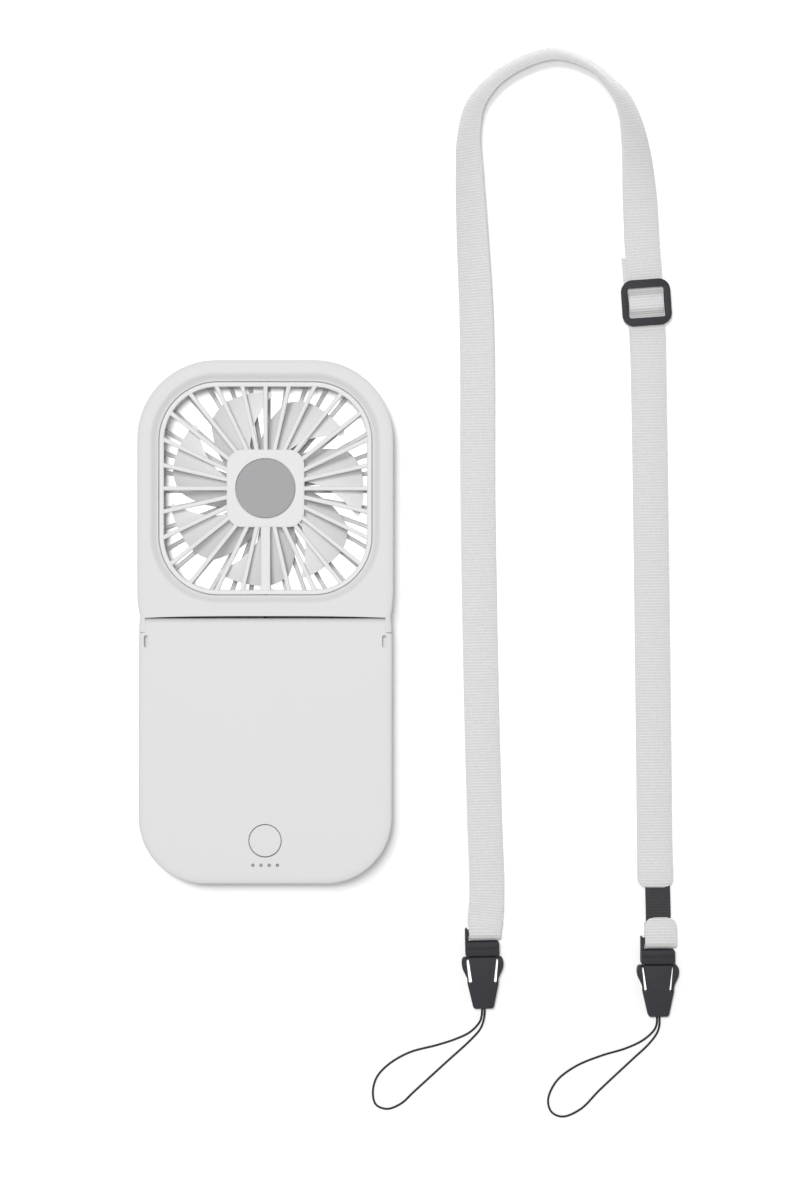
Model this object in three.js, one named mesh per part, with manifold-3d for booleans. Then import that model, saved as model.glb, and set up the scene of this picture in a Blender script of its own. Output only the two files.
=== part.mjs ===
// A folding desk fan with its neck lanyard, lying open and flat on its back.
// Millimetres. +X is the fan's right, +Y runs from the base to the head, +Z leaves the front face.
// The origin is under the middle of the fan, on the surface that it lies on.
import * as THREE from 'three';
import { mergeVertices } from 'three/addons/utils/BufferGeometryUtils.js';
import Module from 'manifold-3d';

const wasm = await Module();
wasm.setup();

// Driving dimensions of the fan
const FAN_LENGTH = 145.6;
const FAN_THICKNESS = 20;
const HEAD_HALF_WIDTH = 35.6;
const BASE_HALF_WIDTH = 35.2;
const HEAD_CORNER = 22;
const BASE_CORNER = 18.5;
const FRONT_ROUND = 2.2;
const FRONT_DROP = 0.7;
const REAR_ROUND = 1.6;
const PARTING_HEIGHT = 8;
const GAP = 0.3;
const WALL = 1.8;
const HALF_LENGTH = FAN_LENGTH / 2;

// Hinge between base and head: the base's front edge is a bead around the axis
const HINGE_LINE = 1.25;
const HINGE_GAP = 0.5;
const BEAD_RADIUS = 1.9;
const BASE_END = HINGE_LINE - HINGE_GAP / 2;
const HEAD_END = HINGE_LINE + HINGE_GAP / 2;
const AXIS_Y = BASE_END - BEAD_RADIUS;
const AXIS_Z = FAN_THICKNESS - BEAD_RADIUS;
const EAR_INNER = 33.4;
const EAR_CORNER = 0.5;
const EAR_SEAT_RADIUS = 2.7;
const EAR_SEAT_BACK = 2.15;
const PIN_RADIUS = 0.75;
const PIN_HOLE_RADIUS = 0.95;
const PIN_INNER = 29.5;
const PIN_OUTER = 34.2;
const WASHER_SEAT = 32.3;
const WASHER_RADIUS = 1.35;
const HEAD_WAIST = 0.8;
const HEAD_WAIST_RUN = 8;
const BASE_WAIST = 0.3;
const BASE_WAIST_RUN = 3;

// Head: duct, grilles and rotor, all on the fan axis
const ROTOR_Y = 37.2;
const GRILLE_HALF = 29.6;
const GRILLE_CORNER = 16.3;
const GRILLE_RING = 1.3;
const GRILLE_FACE = 18.3;
const GRILLE_DEPTH = 1.9;
const BEVEL_HALF = 31.9;
const DUCT_HALF = 30.4;
const DUCT_CORNER = 17.1;
const DUCT_WALL = 1.5;
const LIP_THICKNESS = 1.1;
const HUB_HALF = 10.85;
const HUB_CORNER = 4.5;
const HUB_DISC_RADIUS = 8.25;
const HUB_DISC_THICKNESS = 0.8;
const FRONT_SPOKES = 28;
const SPOKE_WIDTH = 1.2;
const WIDE_SPOKE_WIDTH = 2.7;
const REAR_SPOKES = 36;
const REAR_GRILLE_DEPTH = 2;
const REAR_HUB_RADIUS = 10;

// Impeller and motor
const BLADES = 7;
const BLADE_TIP = 27.2;
const BLADE_ROOT = 9.6;
const BLADE_SPAN_DEG = 41;
const BLADE_SWEEP_DEG = 1.8;
const BLADE_FIRST_DEG = 103;
const BLADE_SWEEP_FROM = 11.1;
const BLADE_THICKNESS = 1;
const BLADE_REAR = 7.2;
const BLADE_RISE = 7;
const BLADE_CAMBER = 0.7;
const IMPELLER_HUB_RADIUS = 10.4;
const IMPELLER_HUB_FLOOR = 5.6;
const IMPELLER_HUB_TOP = 14.8;
const ROTOR_RADIUS = 9.2;
const ROTOR_WALL = 0.8;
const STATOR_RADIUS = 7.4;
const BOSS_RADIUS = 3.4;
const SHAFT_RADIUS = 1;
const SHAFT_GAP = 0.1;
const POLES = 9;

// Base: controls, charging socket and lanyard slots
const BUTTON_Y = -60.8;
const BUTTON_RADIUS = 4.4;
const BUTTON_FLANGE_RADIUS = 5.4;
const BUTTON_TRAVEL = 0.6;
const BUTTON_GAP = 0.25;
const BUTTON_STEM_END = 15.2;
const LIGHT_Y = -67.6;
const LIGHT_PITCH = 2.27;
const LIGHTS = 4;
const LIGHT_HOLE_RADIUS = 0.45;
const LIGHT_PEG_RADIUS = 0.28;
const SOCKET_WIDTH = 9;
const SOCKET_HEIGHT = 3.2;
const SOCKET_LENGTH = 7.4;
const SOCKET_WALL = 0.35;
const SOCKET_Z = 10.6;
const BOARD_BOTTOM = 12.5;
const BOARD_THICKNESS = 1.2;
const SLOT_X = 33.1;
const SLOT_Y = -5.4;
const SLOT_WIDTH = 1.2;
const SLOT_LENGTH = 3.35;
const SLOT_DEPTH = 3.6;
const LEAD_RADIUS = 0.5;
const LEAD_Z = 15.4;
const LEAD_SPOKE_Z = 15.75;

// Screws that draw the rear covers against the front pieces
const SCREW_HEAD_RADIUS = 1.3;
const SCREW_HEAD_HEIGHT = 1.3;
const SCREW_RADIUS = 0.8;
const SCREW_LENGTH = 8;
const SCREW_RECESS = 1.2;
const SCREW_CLEARANCE = 0.15;
const SCREW_POST_RADIUS = 2;

// Lanyard: a flat strap that lies beside the fan, its adjuster, buckles and cord loops
const STRAP_WIDTH = 10;
const STRAP_THICKNESS = 0.9;
const STRAP_REST = 0.3;
const SLIDER_CENTRE = [107.3, 90.5];
const SLIDER_LEAN_DEG = 4;
const SLIDER_WINDOW = [10.3, 8.6];
const SLIDER_BAR = 1.8;
const SLIDER_CORNER = 3.2;
const BUCKLE_WIDTH = 9.6;
const BUCKLE_BLOCK = 4;
const BUCKLE_THICKNESS = 5;
const BUCKLE_BAR_RADIUS = 0.9;
const CLIP_LENGTH = 14.9;
const CLIP_THICKNESS = 4.4;
const CLIP_TIP_WIDTH = 5.2;
const CORD_RADIUS = 0.3;
const CORD_SPREAD = 0.36;
const LEFT_BUCKLE = [60.8, -94.8];
const RIGHT_BUCKLE = [110.6, -97.1];
const LEFT_BUCKLE_LEAN_DEG = 1.2;
const RIGHT_BUCKLE_LEAN_DEG = 0.6;

const ARC_STEPS = 8;
const SMALL_ARC_STEPS = 3;
const ROUND_STEPS = 3;
const WHEEL_SIDES = 36;
const CYLINDER_SIDES = 28;
const SMALL_SIDES = 10;
const TUBE_SIDES = 8;
const LOOP_STEPS = 44;

// Materials
function finish(color, roughness, metalness) {
  return new THREE.MeshStandardMaterial({ color, roughness, metalness });
}

const plastic = (color, roughness) => finish(color, roughness, 0);
const metal = (color, roughness) => finish(color, roughness, 1);
const whiteShell = plastic(0xe9e9ea, 0.55);
const whiteGrille = plastic(0xececec, 0.5);
const whiteBlade = plastic(0xdcdcdd, 0.5);
const greyDisc = plastic(0xabacae, 0.4);
const blackPlastic = plastic(0x403f44, 0.5);
const whiteStrap = plastic(0xe4e4e5, 0.9);
const darkStrap = plastic(0x3d3c42, 0.85);
const blackCord = plastic(0x232326, 0.8);
const boardGreen = plastic(0x1f5d3a, 0.5);
const foil = metal(0xc9ccd0, 0.35);
const steel = metal(0xb8bbc0, 0.3);
const bronze = metal(0xb08a52, 0.4);
const copper = metal(0xb4683a, 0.45);
const clearGuide = plastic(0xf4f4f2, 0.25);

const part = new THREE.Group();

// Turn a closed three.js geometry into a solid that can be joined and cut
function solid(geometry) {
  const bare = geometry.clone();
  bare.deleteAttribute('normal');
  bare.deleteAttribute('uv');
  const merged = mergeVertices(bare, 1e-4);
  return new wasm.Manifold(new wasm.Mesh({
    numProp: 3,
    vertProperties: new Float32Array(merged.attributes.position.array),
    triVerts: new Uint32Array(merged.index.array),
  }));
}

function geometryOf(body) {
  const data = body.getMesh();
  const geometry = new THREE.BufferGeometry();
  geometry.setAttribute('position', new THREE.BufferAttribute(new Float32Array(data.vertProperties), 3));
  geometry.setIndex(new THREE.BufferAttribute(new Uint32Array(data.triVerts), 1));
  geometry.computeVertexNormals();
  return geometry;
}

function place(name, body, material, group = part) {
  const mesh = new THREE.Mesh(geometryOf(body), material);
  mesh.name = name;
  group.add(mesh);
  return mesh;
}

const join = (bodies) => bodies.reduce((sum, body) => sum.add(body));
const cut = (body, tools) => tools.reduce((rest, tool) => rest.subtract(tool), body);
const radians = THREE.MathUtils.degToRad;

function block(x, y, z) {
  const geometry = new THREE.BoxGeometry(x[1] - x[0], y[1] - y[0], z[1] - z[0]);
  geometry.translate((x[0] + x[1]) / 2, (y[0] + y[1]) / 2, (z[0] + z[1]) / 2);
  return solid(geometry);
}

// A round bar along +Z from z[0] to z[1]
function rod(x, y, z, radius, sides = CYLINDER_SIDES) {
  const geometry = new THREE.CylinderGeometry(radius, radius, z[1] - z[0], sides);
  geometry.rotateX(Math.PI / 2);
  geometry.translate(x, y, (z[0] + z[1]) / 2);
  return solid(geometry);
}

// A round bar along +X from x[0] to x[1]
function crossRod(x, y, z, radius, sides = CYLINDER_SIDES) {
  const geometry = new THREE.CylinderGeometry(radius, radius, x[1] - x[0], sides);
  geometry.rotateZ(Math.PI / 2);
  geometry.translate((x[0] + x[1]) / 2, y, z);
  return solid(geometry);
}

// A closed profile of [radius, height] points turned about the vertical line through x, y
function turned(profile, x, y, sides = CYLINDER_SIDES) {
  const closed = [...profile, profile[0]].map(([radius, height]) => new THREE.Vector2(radius, height));
  const geometry = new THREE.LatheGeometry(closed, sides);
  geometry.rotateX(Math.PI / 2);
  geometry.translate(x, y, 0);
  return solid(geometry);
}

// Outline of a rectangle with round corners, counter-clockwise from its right side
function roundedOutline(halfX, halfY, corner, steps) {
  const points = [];
  const corners = [[1, 1], [-1, 1], [-1, -1], [1, -1]];
  corners.forEach(([signX, signY], quarter) => {
    for (let i = 0; i <= steps; i += 1) {
      const angle = (quarter + i / steps) * (Math.PI / 2);
      const x = signX * (halfX - corner) + corner * Math.cos(angle);
      const y = signY * (halfY - corner) + corner * Math.sin(angle);
      points.push([x, y]);
    }
  });
  return points;
}

function extruded(outline, z, holes = []) {
  const shape = new THREE.Shape(outline.map(([x, y]) => new THREE.Vector2(x, y)));
  shape.holes = holes.map((hole) => new THREE.Path(hole.map(([x, y]) => new THREE.Vector2(x, y))));
  const geometry = new THREE.ExtrudeGeometry(shape, { depth: z[1] - z[0], bevelEnabled: false });
  geometry.translate(0, 0, z[0]);
  return solid(geometry);
}

function roundedPrism(halfX, halfY, corner, z, centre = [0, 0], steps = SMALL_ARC_STEPS) {
  return extruded(roundedOutline(halfX, halfY, corner, steps), z).translate([...centre, 0]);
}

// Square prism with round corners about the fan axis
const ductPrism = (half, corner, z) => roundedPrism(half, half, corner, z, [0, ROTOR_Y], ARC_STEPS);

function ductRing(half, corner, z) {
  return roundedOutline(half, half, corner, ARC_STEPS).map(([x, y]) => [x, y + ROTOR_Y, z]);
}

// Skin a stack of rings that have equal counts of points, and close both ends
function loft(rings) {
  const count = rings[0].length;
  const points = rings.flat();
  const faces = [];
  for (let ring = 0; ring + 1 < rings.length; ring += 1) {
    for (let i = 0; i < count; i += 1) {
      const a = ring * count + i;
      const b = ring * count + ((i + 1) % count);
      faces.push(a, b, b + count, a, b + count, a + count);
    }
  }
  const last = (rings.length - 1) * count;
  for (let i = 1; i + 1 < count; i += 1) {
    faces.push(0, i + 1, i);
    faces.push(last, last + i, last + i + 1);
  }
  const geometry = new THREE.BufferGeometry();
  geometry.setAttribute('position', new THREE.Float32BufferAttribute(points.flat(), 3));
  geometry.setIndex(faces);
  return solid(geometry);
}

// Outline of one half of the fan at a height: square at the hinge, two round corners at the far end.
// The sides draw in slightly towards the hinge line, which gives the fan its waist.
function caseRing(half, inset, z) {
  const { halfWidth, corner, sign, waist, waistRun } = half;
  const width = halfWidth - inset;
  const radius = corner - inset;
  const far = HALF_LENGTH - inset;
  const sideStops = [-6, 0, 0.2 * waistRun, 0.4 * waistRun, 0.65 * waistRun, waistRun];
  const right = sideStops.map((stop) => {
    const closeness = THREE.MathUtils.clamp(1 - stop / waistRun, 0, 1);
    return [width - waist * closeness ** 2, HINGE_LINE * sign + stop];
  });
  for (let i = 0; i <= ARC_STEPS; i += 1) {
    const angle = (i / ARC_STEPS) * (Math.PI / 2);
    right.push([width - radius + radius * Math.cos(angle), far - radius + radius * Math.sin(angle)]);
  }
  const left = right.map(([x, y]) => [-x, y]).reverse();
  const ring = [...right, ...left].map(([x, y]) => [x, y * sign, z]);
  return sign > 0 ? ring : ring.reverse();
}

// Solid between two heights; a rounded edge is given by its width at the bottom or the top,
// and the top edge may drop less than its width
function caseBody(half, inset, z, roundBottom, roundTop, dropTop = roundTop) {
  const rings = [];
  for (let i = roundBottom > 0 ? ROUND_STEPS : 0; i > 0; i -= 1) {
    const angle = (i / ROUND_STEPS) * (Math.PI / 2);
    const height = z[0] + roundBottom * (1 - Math.sin(angle));
    rings.push(caseRing(half, inset + roundBottom * (1 - Math.cos(angle)), height));
  }
  rings.push(caseRing(half, inset, z[0] + roundBottom));
  rings.push(caseRing(half, inset, z[1] - dropTop));
  for (let i = 1; i <= (roundTop > 0 ? ROUND_STEPS : 0); i += 1) {
    const angle = (i / ROUND_STEPS) * (Math.PI / 2);
    const height = z[1] - dropTop * (1 - Math.sin(angle));
    rings.push(caseRing(half, inset + roundTop * (1 - Math.cos(angle)), height));
  }
  return loft(rings);
}

const headHalf = {
  halfWidth: HEAD_HALF_WIDTH, corner: HEAD_CORNER, sign: 1, waist: HEAD_WAIST, waistRun: HEAD_WAIST_RUN,
};
const baseHalf = {
  halfWidth: BASE_HALF_WIDTH, corner: BASE_CORNER, sign: -1, waist: BASE_WAIST, waistRun: BASE_WAIST_RUN,
};
const FAR = 100;
const beyondHeadEnd = block([-FAR, FAR], [-FAR, HEAD_END], [-FAR, FAR]);
const beyondBaseEnd = block([-FAR, FAR], [BASE_END, FAR], [-FAR, FAR]);
const frontZ = [PARTING_HEIGHT + GAP / 2, FAN_THICKNESS];
const rearZ = [0, PARTING_HEIGHT - GAP / 2];
const sides = [['left', -1], ['right', 1]];

const baseScrews = [[-27.5, -9.5], [27.5, -9.5], [-21.5, -62.5], [21.5, -62.5]];
const headScrews = [[-26.9, 64.1], [26.9, 64.1], [-30.3, 6.6], [30.3, 6.6]];

function screwPosts(spots, z) {
  return spots.map(([x, y]) => rod(x, y, z, SCREW_POST_RADIUS, SMALL_SIDES));
}

function screwHoles(spots) {
  const headTop = SCREW_RECESS + SCREW_HEAD_HEIGHT;
  return spots.flatMap(([x, y]) => [
    rod(x, y, [-1, headTop + GAP], SCREW_HEAD_RADIUS + SCREW_CLEARANCE, SMALL_SIDES),
    rod(x, y, [0, headTop + SCREW_LENGTH + 1], SCREW_RADIUS + SCREW_CLEARANCE, SMALL_SIDES),
  ]);
}

// Cross-recessed screw, head down in its counterbore
function screw(x, y) {
  const headTop = SCREW_RECESS + SCREW_HEAD_HEIGHT;
  const body = join([
    rod(x, y, [SCREW_RECESS, headTop], SCREW_HEAD_RADIUS, SMALL_SIDES),
    rod(x, y, [headTop - 0.1, headTop + SCREW_LENGTH], SCREW_RADIUS, SMALL_SIDES),
  ]);
  const arm = 0.8;
  const slot = 0.2;
  const depth = [SCREW_RECESS - 1, SCREW_RECESS + 0.7];
  const recess = join([
    block([x - arm, x + arm], [y - slot, y + slot], depth),
    block([x - slot, x + slot], [y - arm, y + arm], depth),
  ]);
  return cut(body, [recess]);
}

// Lanyard slot: from the front face down and out through the side, leaving a bar at the corner
function lanyardSlots() {
  return sides.flatMap(([, side]) => {
    const inner = side * (SLOT_X - SLOT_WIDTH / 2);
    const outer = side * (SLOT_X + SLOT_WIDTH / 2);
    const beyond = side * (BASE_HALF_WIDTH + 3);
    const span = [SLOT_Y - SLOT_LENGTH / 2, SLOT_Y + SLOT_LENGTH / 2];
    const floor = FAN_THICKNESS - SLOT_DEPTH;
    const low = (a, b) => [Math.min(a, b), Math.max(a, b)];
    return [
      block(low(inner, outer), span, [floor, FAN_THICKNESS + 1]),
      block(low(inner, beyond), span, [floor, floor + 1.5]),
    ];
  });
}

// Front shell of the base, with the hinge bead along its upper edge
function baseFrontShell() {
  const outer = cut(caseBody(baseHalf, 0, frontZ, 0, FRONT_ROUND, FRONT_DROP), [beyondBaseEnd]);
  const cavity = cut(caseBody(baseHalf, WALL, [frontZ[0] - 1, FAN_THICKNESS - WALL], 0, 0.6), [
    block([-FAR, FAR], [BASE_END - WALL - BEAD_RADIUS, FAR], [-FAR, FAR]),
  ]);
  const slotBosses = join(sides.map(([, side]) => {
    const x = side > 0 ? [30.6, FAR] : [-FAR, -30.6];
    return block(x, [SLOT_Y - 4, BASE_END], [FAN_THICKNESS - SLOT_DEPTH - 1.5, FAN_THICKNESS]);
  })).intersect(outer);
  const posts = join(screwPosts(baseScrews, [frontZ[0], FAN_THICKNESS - WALL])).intersect(outer);
  let shell = cut(outer, [cavity]).add(slotBosses).add(posts);

  // Round the hinge edge to the bead
  const edge = block([-FAR, FAR], [AXIS_Y, FAR], [AXIS_Z, FAR]);
  const bead = crossRod([-FAR, FAR], AXIS_Y, AXIS_Z, BEAD_RADIUS);
  shell = shell.subtract(edge.subtract(bead));

  // Seats at both bead ends: room for the head's ear, the washer and the pin
  const hingeCuts = sides.flatMap(([, side]) => {
    const along = (a, b) => (side > 0 ? [a, b] : [-b, -a]);
    const seat = EAR_INNER - GAP;
    return [
      crossRod(along(seat, FAR), AXIS_Y, AXIS_Z, EAR_SEAT_RADIUS),
      block(along(seat, FAR), [AXIS_Y - EAR_SEAT_BACK, FAR], [AXIS_Z, FAR]),
      block(along(seat, FAR), [AXIS_Y, FAR], [AXIS_Z - BEAD_RADIUS - GAP, FAR]),
      crossRod(along(WASHER_SEAT, FAR), AXIS_Y, AXIS_Z, WASHER_RADIUS + 0.15, SMALL_SIDES),
      crossRod(along(PIN_INNER - GAP, FAR), AXIS_Y, AXIS_Z, PIN_HOLE_RADIUS, SMALL_SIDES),
    ];
  });
  const throughFace = [FAN_THICKNESS - 4, FAR];
  const lights = lightPlaces().map((x) => rod(x, LIGHT_Y, throughFace, LIGHT_HOLE_RADIUS, SMALL_SIDES));
  const mouth = roundedPrism(SOCKET_WIDTH / 2 + GAP, SOCKET_HEIGHT / 2 + GAP, SOCKET_HEIGHT / 2, [0, 12])
    .rotate([90, 0, 0])
    .translate([0, -HALF_LENGTH + 6, SOCKET_Z]);
  const leadHole = leadBore([BASE_END - 8, BASE_END + 1]);
  const buttonHole = rod(0, BUTTON_Y, throughFace, BUTTON_RADIUS + BUTTON_GAP);
  const faceHoles = [...lanyardSlots(), ...lights, buttonHole];
  return cut(shell, [...hingeCuts, ...faceHoles, ...screwHoles(baseScrews), mouth, leadHole]);
}

function leadBore(y) {
  const radius = LEAD_RADIUS + 0.4;
  const geometry = new THREE.CylinderGeometry(radius, radius, y[1] - y[0], SMALL_SIDES);
  geometry.translate(0, (y[0] + y[1]) / 2, LEAD_Z);
  return solid(geometry);
}

function lightPlaces() {
  return Array.from({ length: LIGHTS }, (_, i) => (i - (LIGHTS - 1) / 2) * LIGHT_PITCH);
}

function baseRearShell() {
  const outer = cut(caseBody(baseHalf, 0, rearZ, REAR_ROUND, 0), [beyondBaseEnd]);
  const cavity = cut(caseBody(baseHalf, WALL, [WALL, rearZ[1] + 1], 1.2, 0), [
    block([-FAR, FAR], [BASE_END - WALL, FAR], [-FAR, FAR]),
  ]);
  const posts = join(screwPosts(baseScrews, [0.5, rearZ[1]])).intersect(outer);
  return cut(cut(outer, [cavity]).add(posts), screwHoles(baseScrews));
}

// Outline of a hinge ear in y and z: round below the axis, flush with the face above it
function earOutline() {
  const back = AXIS_Y - BEAD_RADIUS;
  const points = [[HEAD_END + 1, AXIS_Z - BEAD_RADIUS], [HEAD_END + 1, FAN_THICKNESS]];
  const arc = (centreY, centreZ, radius, startTurn, steps) => {
    for (let i = 0; i <= steps; i += 1) {
      const angle = (startTurn + i / steps) * (Math.PI / 2);
      points.push([centreY + radius * Math.cos(angle), centreZ + radius * Math.sin(angle)]);
    }
  };
  arc(back + EAR_CORNER, FAN_THICKNESS - EAR_CORNER, EAR_CORNER, 1, SMALL_ARC_STEPS);
  arc(AXIS_Y, AXIS_Z, BEAD_RADIUS, 2, ARC_STEPS);
  return points;
}

// The head's section at the hinge, drawn out along Y: the ears keep inside it
function hingeSection() {
  const half = HEAD_HALF_WIDTH - HEAD_WAIST;
  const edge = [];
  for (let i = 0; i <= ROUND_STEPS; i += 1) {
    const angle = (i / ROUND_STEPS) * (Math.PI / 2);
    const z = FAN_THICKNESS - FRONT_DROP * (1 - Math.sin(angle));
    edge.push([half - FRONT_ROUND * (1 - Math.cos(angle)), z]);
  }
  const mirrored = edge.map(([x, z]) => [-x, z]).reverse();
  return extruded([[half, 0], ...edge, ...mirrored, [-half, 0]], [-6, 6]).rotate([90, 0, 0]);
}

// Outer frame of the head: side wall, flat rim, sunk bevel and the two hinge ears
function headFrontFrame() {
  const outer = cut(caseBody(headHalf, 0, frontZ, 0, FRONT_ROUND, FRONT_DROP), [beyondHeadEnd]);
  const seat = GRILLE_HALF + GAP / 2;
  const seatCorner = GRILLE_CORNER + GAP / 2;
  const ductOuter = DUCT_HALF + DUCT_WALL;
  const channelRoof = GRILLE_FACE - GRILLE_DEPTH - DUCT_WALL;
  const channel = cut(caseBody(headHalf, WALL, [frontZ[0] - 1, channelRoof], 0, 0.6), [
    block([-FAR, FAR], [-FAR, HEAD_END + WALL], [-FAR, FAR]),
    ductPrism(ductOuter, DUCT_CORNER + DUCT_WALL, [-FAR, FAR]),
  ]);
  const posts = join(screwPosts(headScrews, [frontZ[0], channelRoof])).intersect(outer);
  const lip = seat - GRILLE_RING + GAP;
  const bevel = loft([
    ductRing(seat, seatCorner, GRILLE_FACE - GRILLE_DEPTH - GAP),
    ductRing(seat, seatCorner, GRILLE_FACE - 0.1),
    ductRing(BEVEL_HALF, seatCorner + BEVEL_HALF - seat, FAN_THICKNESS),
    ductRing(BEVEL_HALF, seatCorner + BEVEL_HALF - seat, FAN_THICKNESS + 1),
  ]);
  const lipLow = GRILLE_FACE - GRILLE_DEPTH - GAP - LIP_THICKNESS;
  const opening = ductPrism(lip, seatCorner - GRILLE_RING + GAP, [-FAR, FAR]);
  const duct = ductPrism(DUCT_HALF, DUCT_CORNER, [-FAR, lipLow]);
  const ears = sides.map(([, side]) => {
    const along = (a, b) => (side > 0 ? [a, b] : [-b, -a]);
    const ear = extruded(earOutline(), along(EAR_INNER, HEAD_HALF_WIDTH)).rotate([90, 0, 90]);
    const hole = crossRod(along(0, PIN_OUTER + GAP), AXIS_Y, AXIS_Z, PIN_HOLE_RADIUS, SMALL_SIDES);
    return ear.intersect(hingeSection()).subtract(hole);
  });
  const leadHoles = leadBore([HEAD_END - 1, ROTOR_Y - lip + 1]);
  const frame = cut(outer, [channel]).add(posts);
  return cut(cut(frame, [bevel, opening, duct]).add(join(ears)), [leadHoles, ...screwHoles(headScrews)]);
}

// Straight spokes on a circle of the given count, the first at the top
function spokes(count, width, z, first, skip = -1) {
  const reach = 1.5 * GRILLE_HALF;
  const bars = [];
  for (let i = 0; i < count; i += 1) {
    if (i !== skip) {
      const bar = block([-width / 2, width / 2], [first, reach], z);
      bars.push(bar.rotate([0, 0, (-360 * i) / count]).translate([0, ROTOR_Y, 0]));
    }
  }
  return join(bars);
}

// Front grille: a ring, many straight spokes and a square hub that carries the motor
function frontGrille() {
  const z = [GRILLE_FACE - GRILLE_DEPTH, GRILLE_FACE];
  const inner = GRILLE_HALF - GRILLE_RING;
  const outline = ductPrism(GRILLE_HALF, GRILLE_CORNER, z);
  const opening = ductPrism(inner, GRILLE_CORNER - GRILLE_RING, [z[0] - 1, z[1] + 1]);
  const ring = outline.subtract(opening);
  const spokeZ = [z[0] + 0.2, z[1] - 0.15];
  const lowest = FRONT_SPOKES / 2;
  const bars = spokes(FRONT_SPOKES, SPOKE_WIDTH, spokeZ, HUB_DISC_RADIUS + 0.5, lowest);
  const wideX = [-WIDE_SPOKE_WIDTH / 2, WIDE_SPOKE_WIDTH / 2];
  const wide = block(wideX, [ROTOR_Y - GRILLE_HALF, ROTOR_Y - HUB_DISC_RADIUS], spokeZ);
  const hub = roundedPrism(HUB_HALF, HUB_HALF, HUB_CORNER, z, [0, ROTOR_Y], 5);
  const boss = rod(0, ROTOR_Y, [IMPELLER_HUB_FLOOR + 3.6, z[1] - 1], BOSS_RADIUS);
  const bushBore = rod(0, ROTOR_Y, [0, z[1] - 1.5], BOSS_RADIUS - 1);
  const discSeat = rod(0, ROTOR_Y, [GRILLE_FACE - HUB_DISC_THICKNESS - GAP, FAR], HUB_DISC_RADIUS + 0.15);
  const grille = join([ring, bars.add(wide).intersect(outline), hub, boss]);
  return cut(grille, [discSeat, bushBore]);
}

function hubDisc() {
  const top = GRILLE_FACE - 0.25;
  const low = GRILLE_FACE - HUB_DISC_THICKNESS;
  const edge = 0.15;
  return turned([
    [0, low], [HUB_DISC_RADIUS, low], [HUB_DISC_RADIUS, top - edge], [HUB_DISC_RADIUS - edge, top], [0, top],
  ], 0, ROTOR_Y, WHEEL_SIDES);
}

// Rear cover of the head with its finer grille
function headRearCover() {
  const outer = cut(caseBody(headHalf, 0, rearZ, REAR_ROUND, 0), [beyondHeadEnd]);
  const ductOuter = DUCT_HALF + DUCT_WALL;
  const channel = cut(caseBody(headHalf, WALL, [WALL, rearZ[1] + 1], 1.2, 0), [
    block([-FAR, FAR], [-FAR, HEAD_END + WALL], [-FAR, FAR]),
    ductPrism(ductOuter, DUCT_CORNER + DUCT_WALL, [-FAR, FAR]),
  ]);
  const posts = join(screwPosts(headScrews, [0.5, rearZ[1]])).intersect(outer);
  const duct = ductPrism(DUCT_HALF, DUCT_CORNER, [-FAR, FAR]);
  const ductCore = ductPrism(ductOuter - 0.5, DUCT_CORNER + DUCT_WALL - 0.5, [0, REAR_GRILLE_DEPTH]);
  const depth = [0, REAR_GRILLE_DEPTH];
  const bars = spokes(REAR_SPOKES, SPOKE_WIDTH, depth, REAR_HUB_RADIUS - 1).intersect(ductCore);
  const hub = rod(0, ROTOR_Y, depth, REAR_HUB_RADIUS);
  const shell = cut(cut(outer, [channel]).add(posts), [duct, ...screwHoles(headScrews)]);
  return join([shell, bars, hub]);
}

// One swept, pitched blade as a thin curved sheet from the hub to the tip circle
function blade(turnDeg) {
  const spanSteps = 5;
  const chordSteps = 6;
  const point = (i, j, side) => {
    const s = j / chordSteps;
    const roundOff = 2.2 * Math.max(0, 1 - s / 0.3) ** 2 + 0.9 * Math.max(0, (s - 0.9) / 0.1) ** 2;
    const r = BLADE_ROOT + (BLADE_TIP - roundOff - BLADE_ROOT) * (i / spanSteps);
    const sweep = BLADE_FIRST_DEG - BLADE_SWEEP_DEG * (r - BLADE_SWEEP_FROM);
    const angle = radians(sweep - BLADE_SPAN_DEG * s + turnDeg);
    const camber = BLADE_CAMBER * (1 - (2 * s - 1) ** 2);
    const z = BLADE_REAR + BLADE_RISE * s + camber + (side * BLADE_THICKNESS) / 2;
    return [r * Math.cos(angle), ROTOR_Y + r * Math.sin(angle), z];
  };
  const rings = [];
  for (let i = 0; i <= spanSteps; i += 1) {
    const ring = [];
    for (let j = 0; j <= chordSteps; j += 1) {
      ring.push(point(i, j, -1));
    }
    for (let j = chordSteps; j >= 0; j -= 1) {
      ring.push(point(i, j, 1));
    }
    rings.push(ring);
  }
  return sheetLoft(rings, chordSteps + 1);
}

// Skin rings of a thin sheet; the end caps are strips between its two faces
function sheetLoft(rings, across) {
  const count = rings[0].length;
  const faces = [];
  for (let ring = 0; ring + 1 < rings.length; ring += 1) {
    for (let i = 0; i < count; i += 1) {
      const a = ring * count + i;
      const b = ring * count + ((i + 1) % count);
      faces.push(a, b + count, b, a, a + count, b + count);
    }
  }
  const last = (rings.length - 1) * count;
  for (let j = 0; j + 1 < across; j += 1) {
    const [a, b, c, d] = [j, j + 1, count - 2 - j, count - 1 - j];
    faces.push(a, b, c, a, c, d);
    faces.push(last + a, last + c, last + b, last + a, last + d, last + c);
  }
  const geometry = new THREE.BufferGeometry();
  geometry.setAttribute('position', new THREE.Float32BufferAttribute(rings.flat(2), 3));
  geometry.setIndex(faces);
  return solid(geometry);
}

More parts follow.
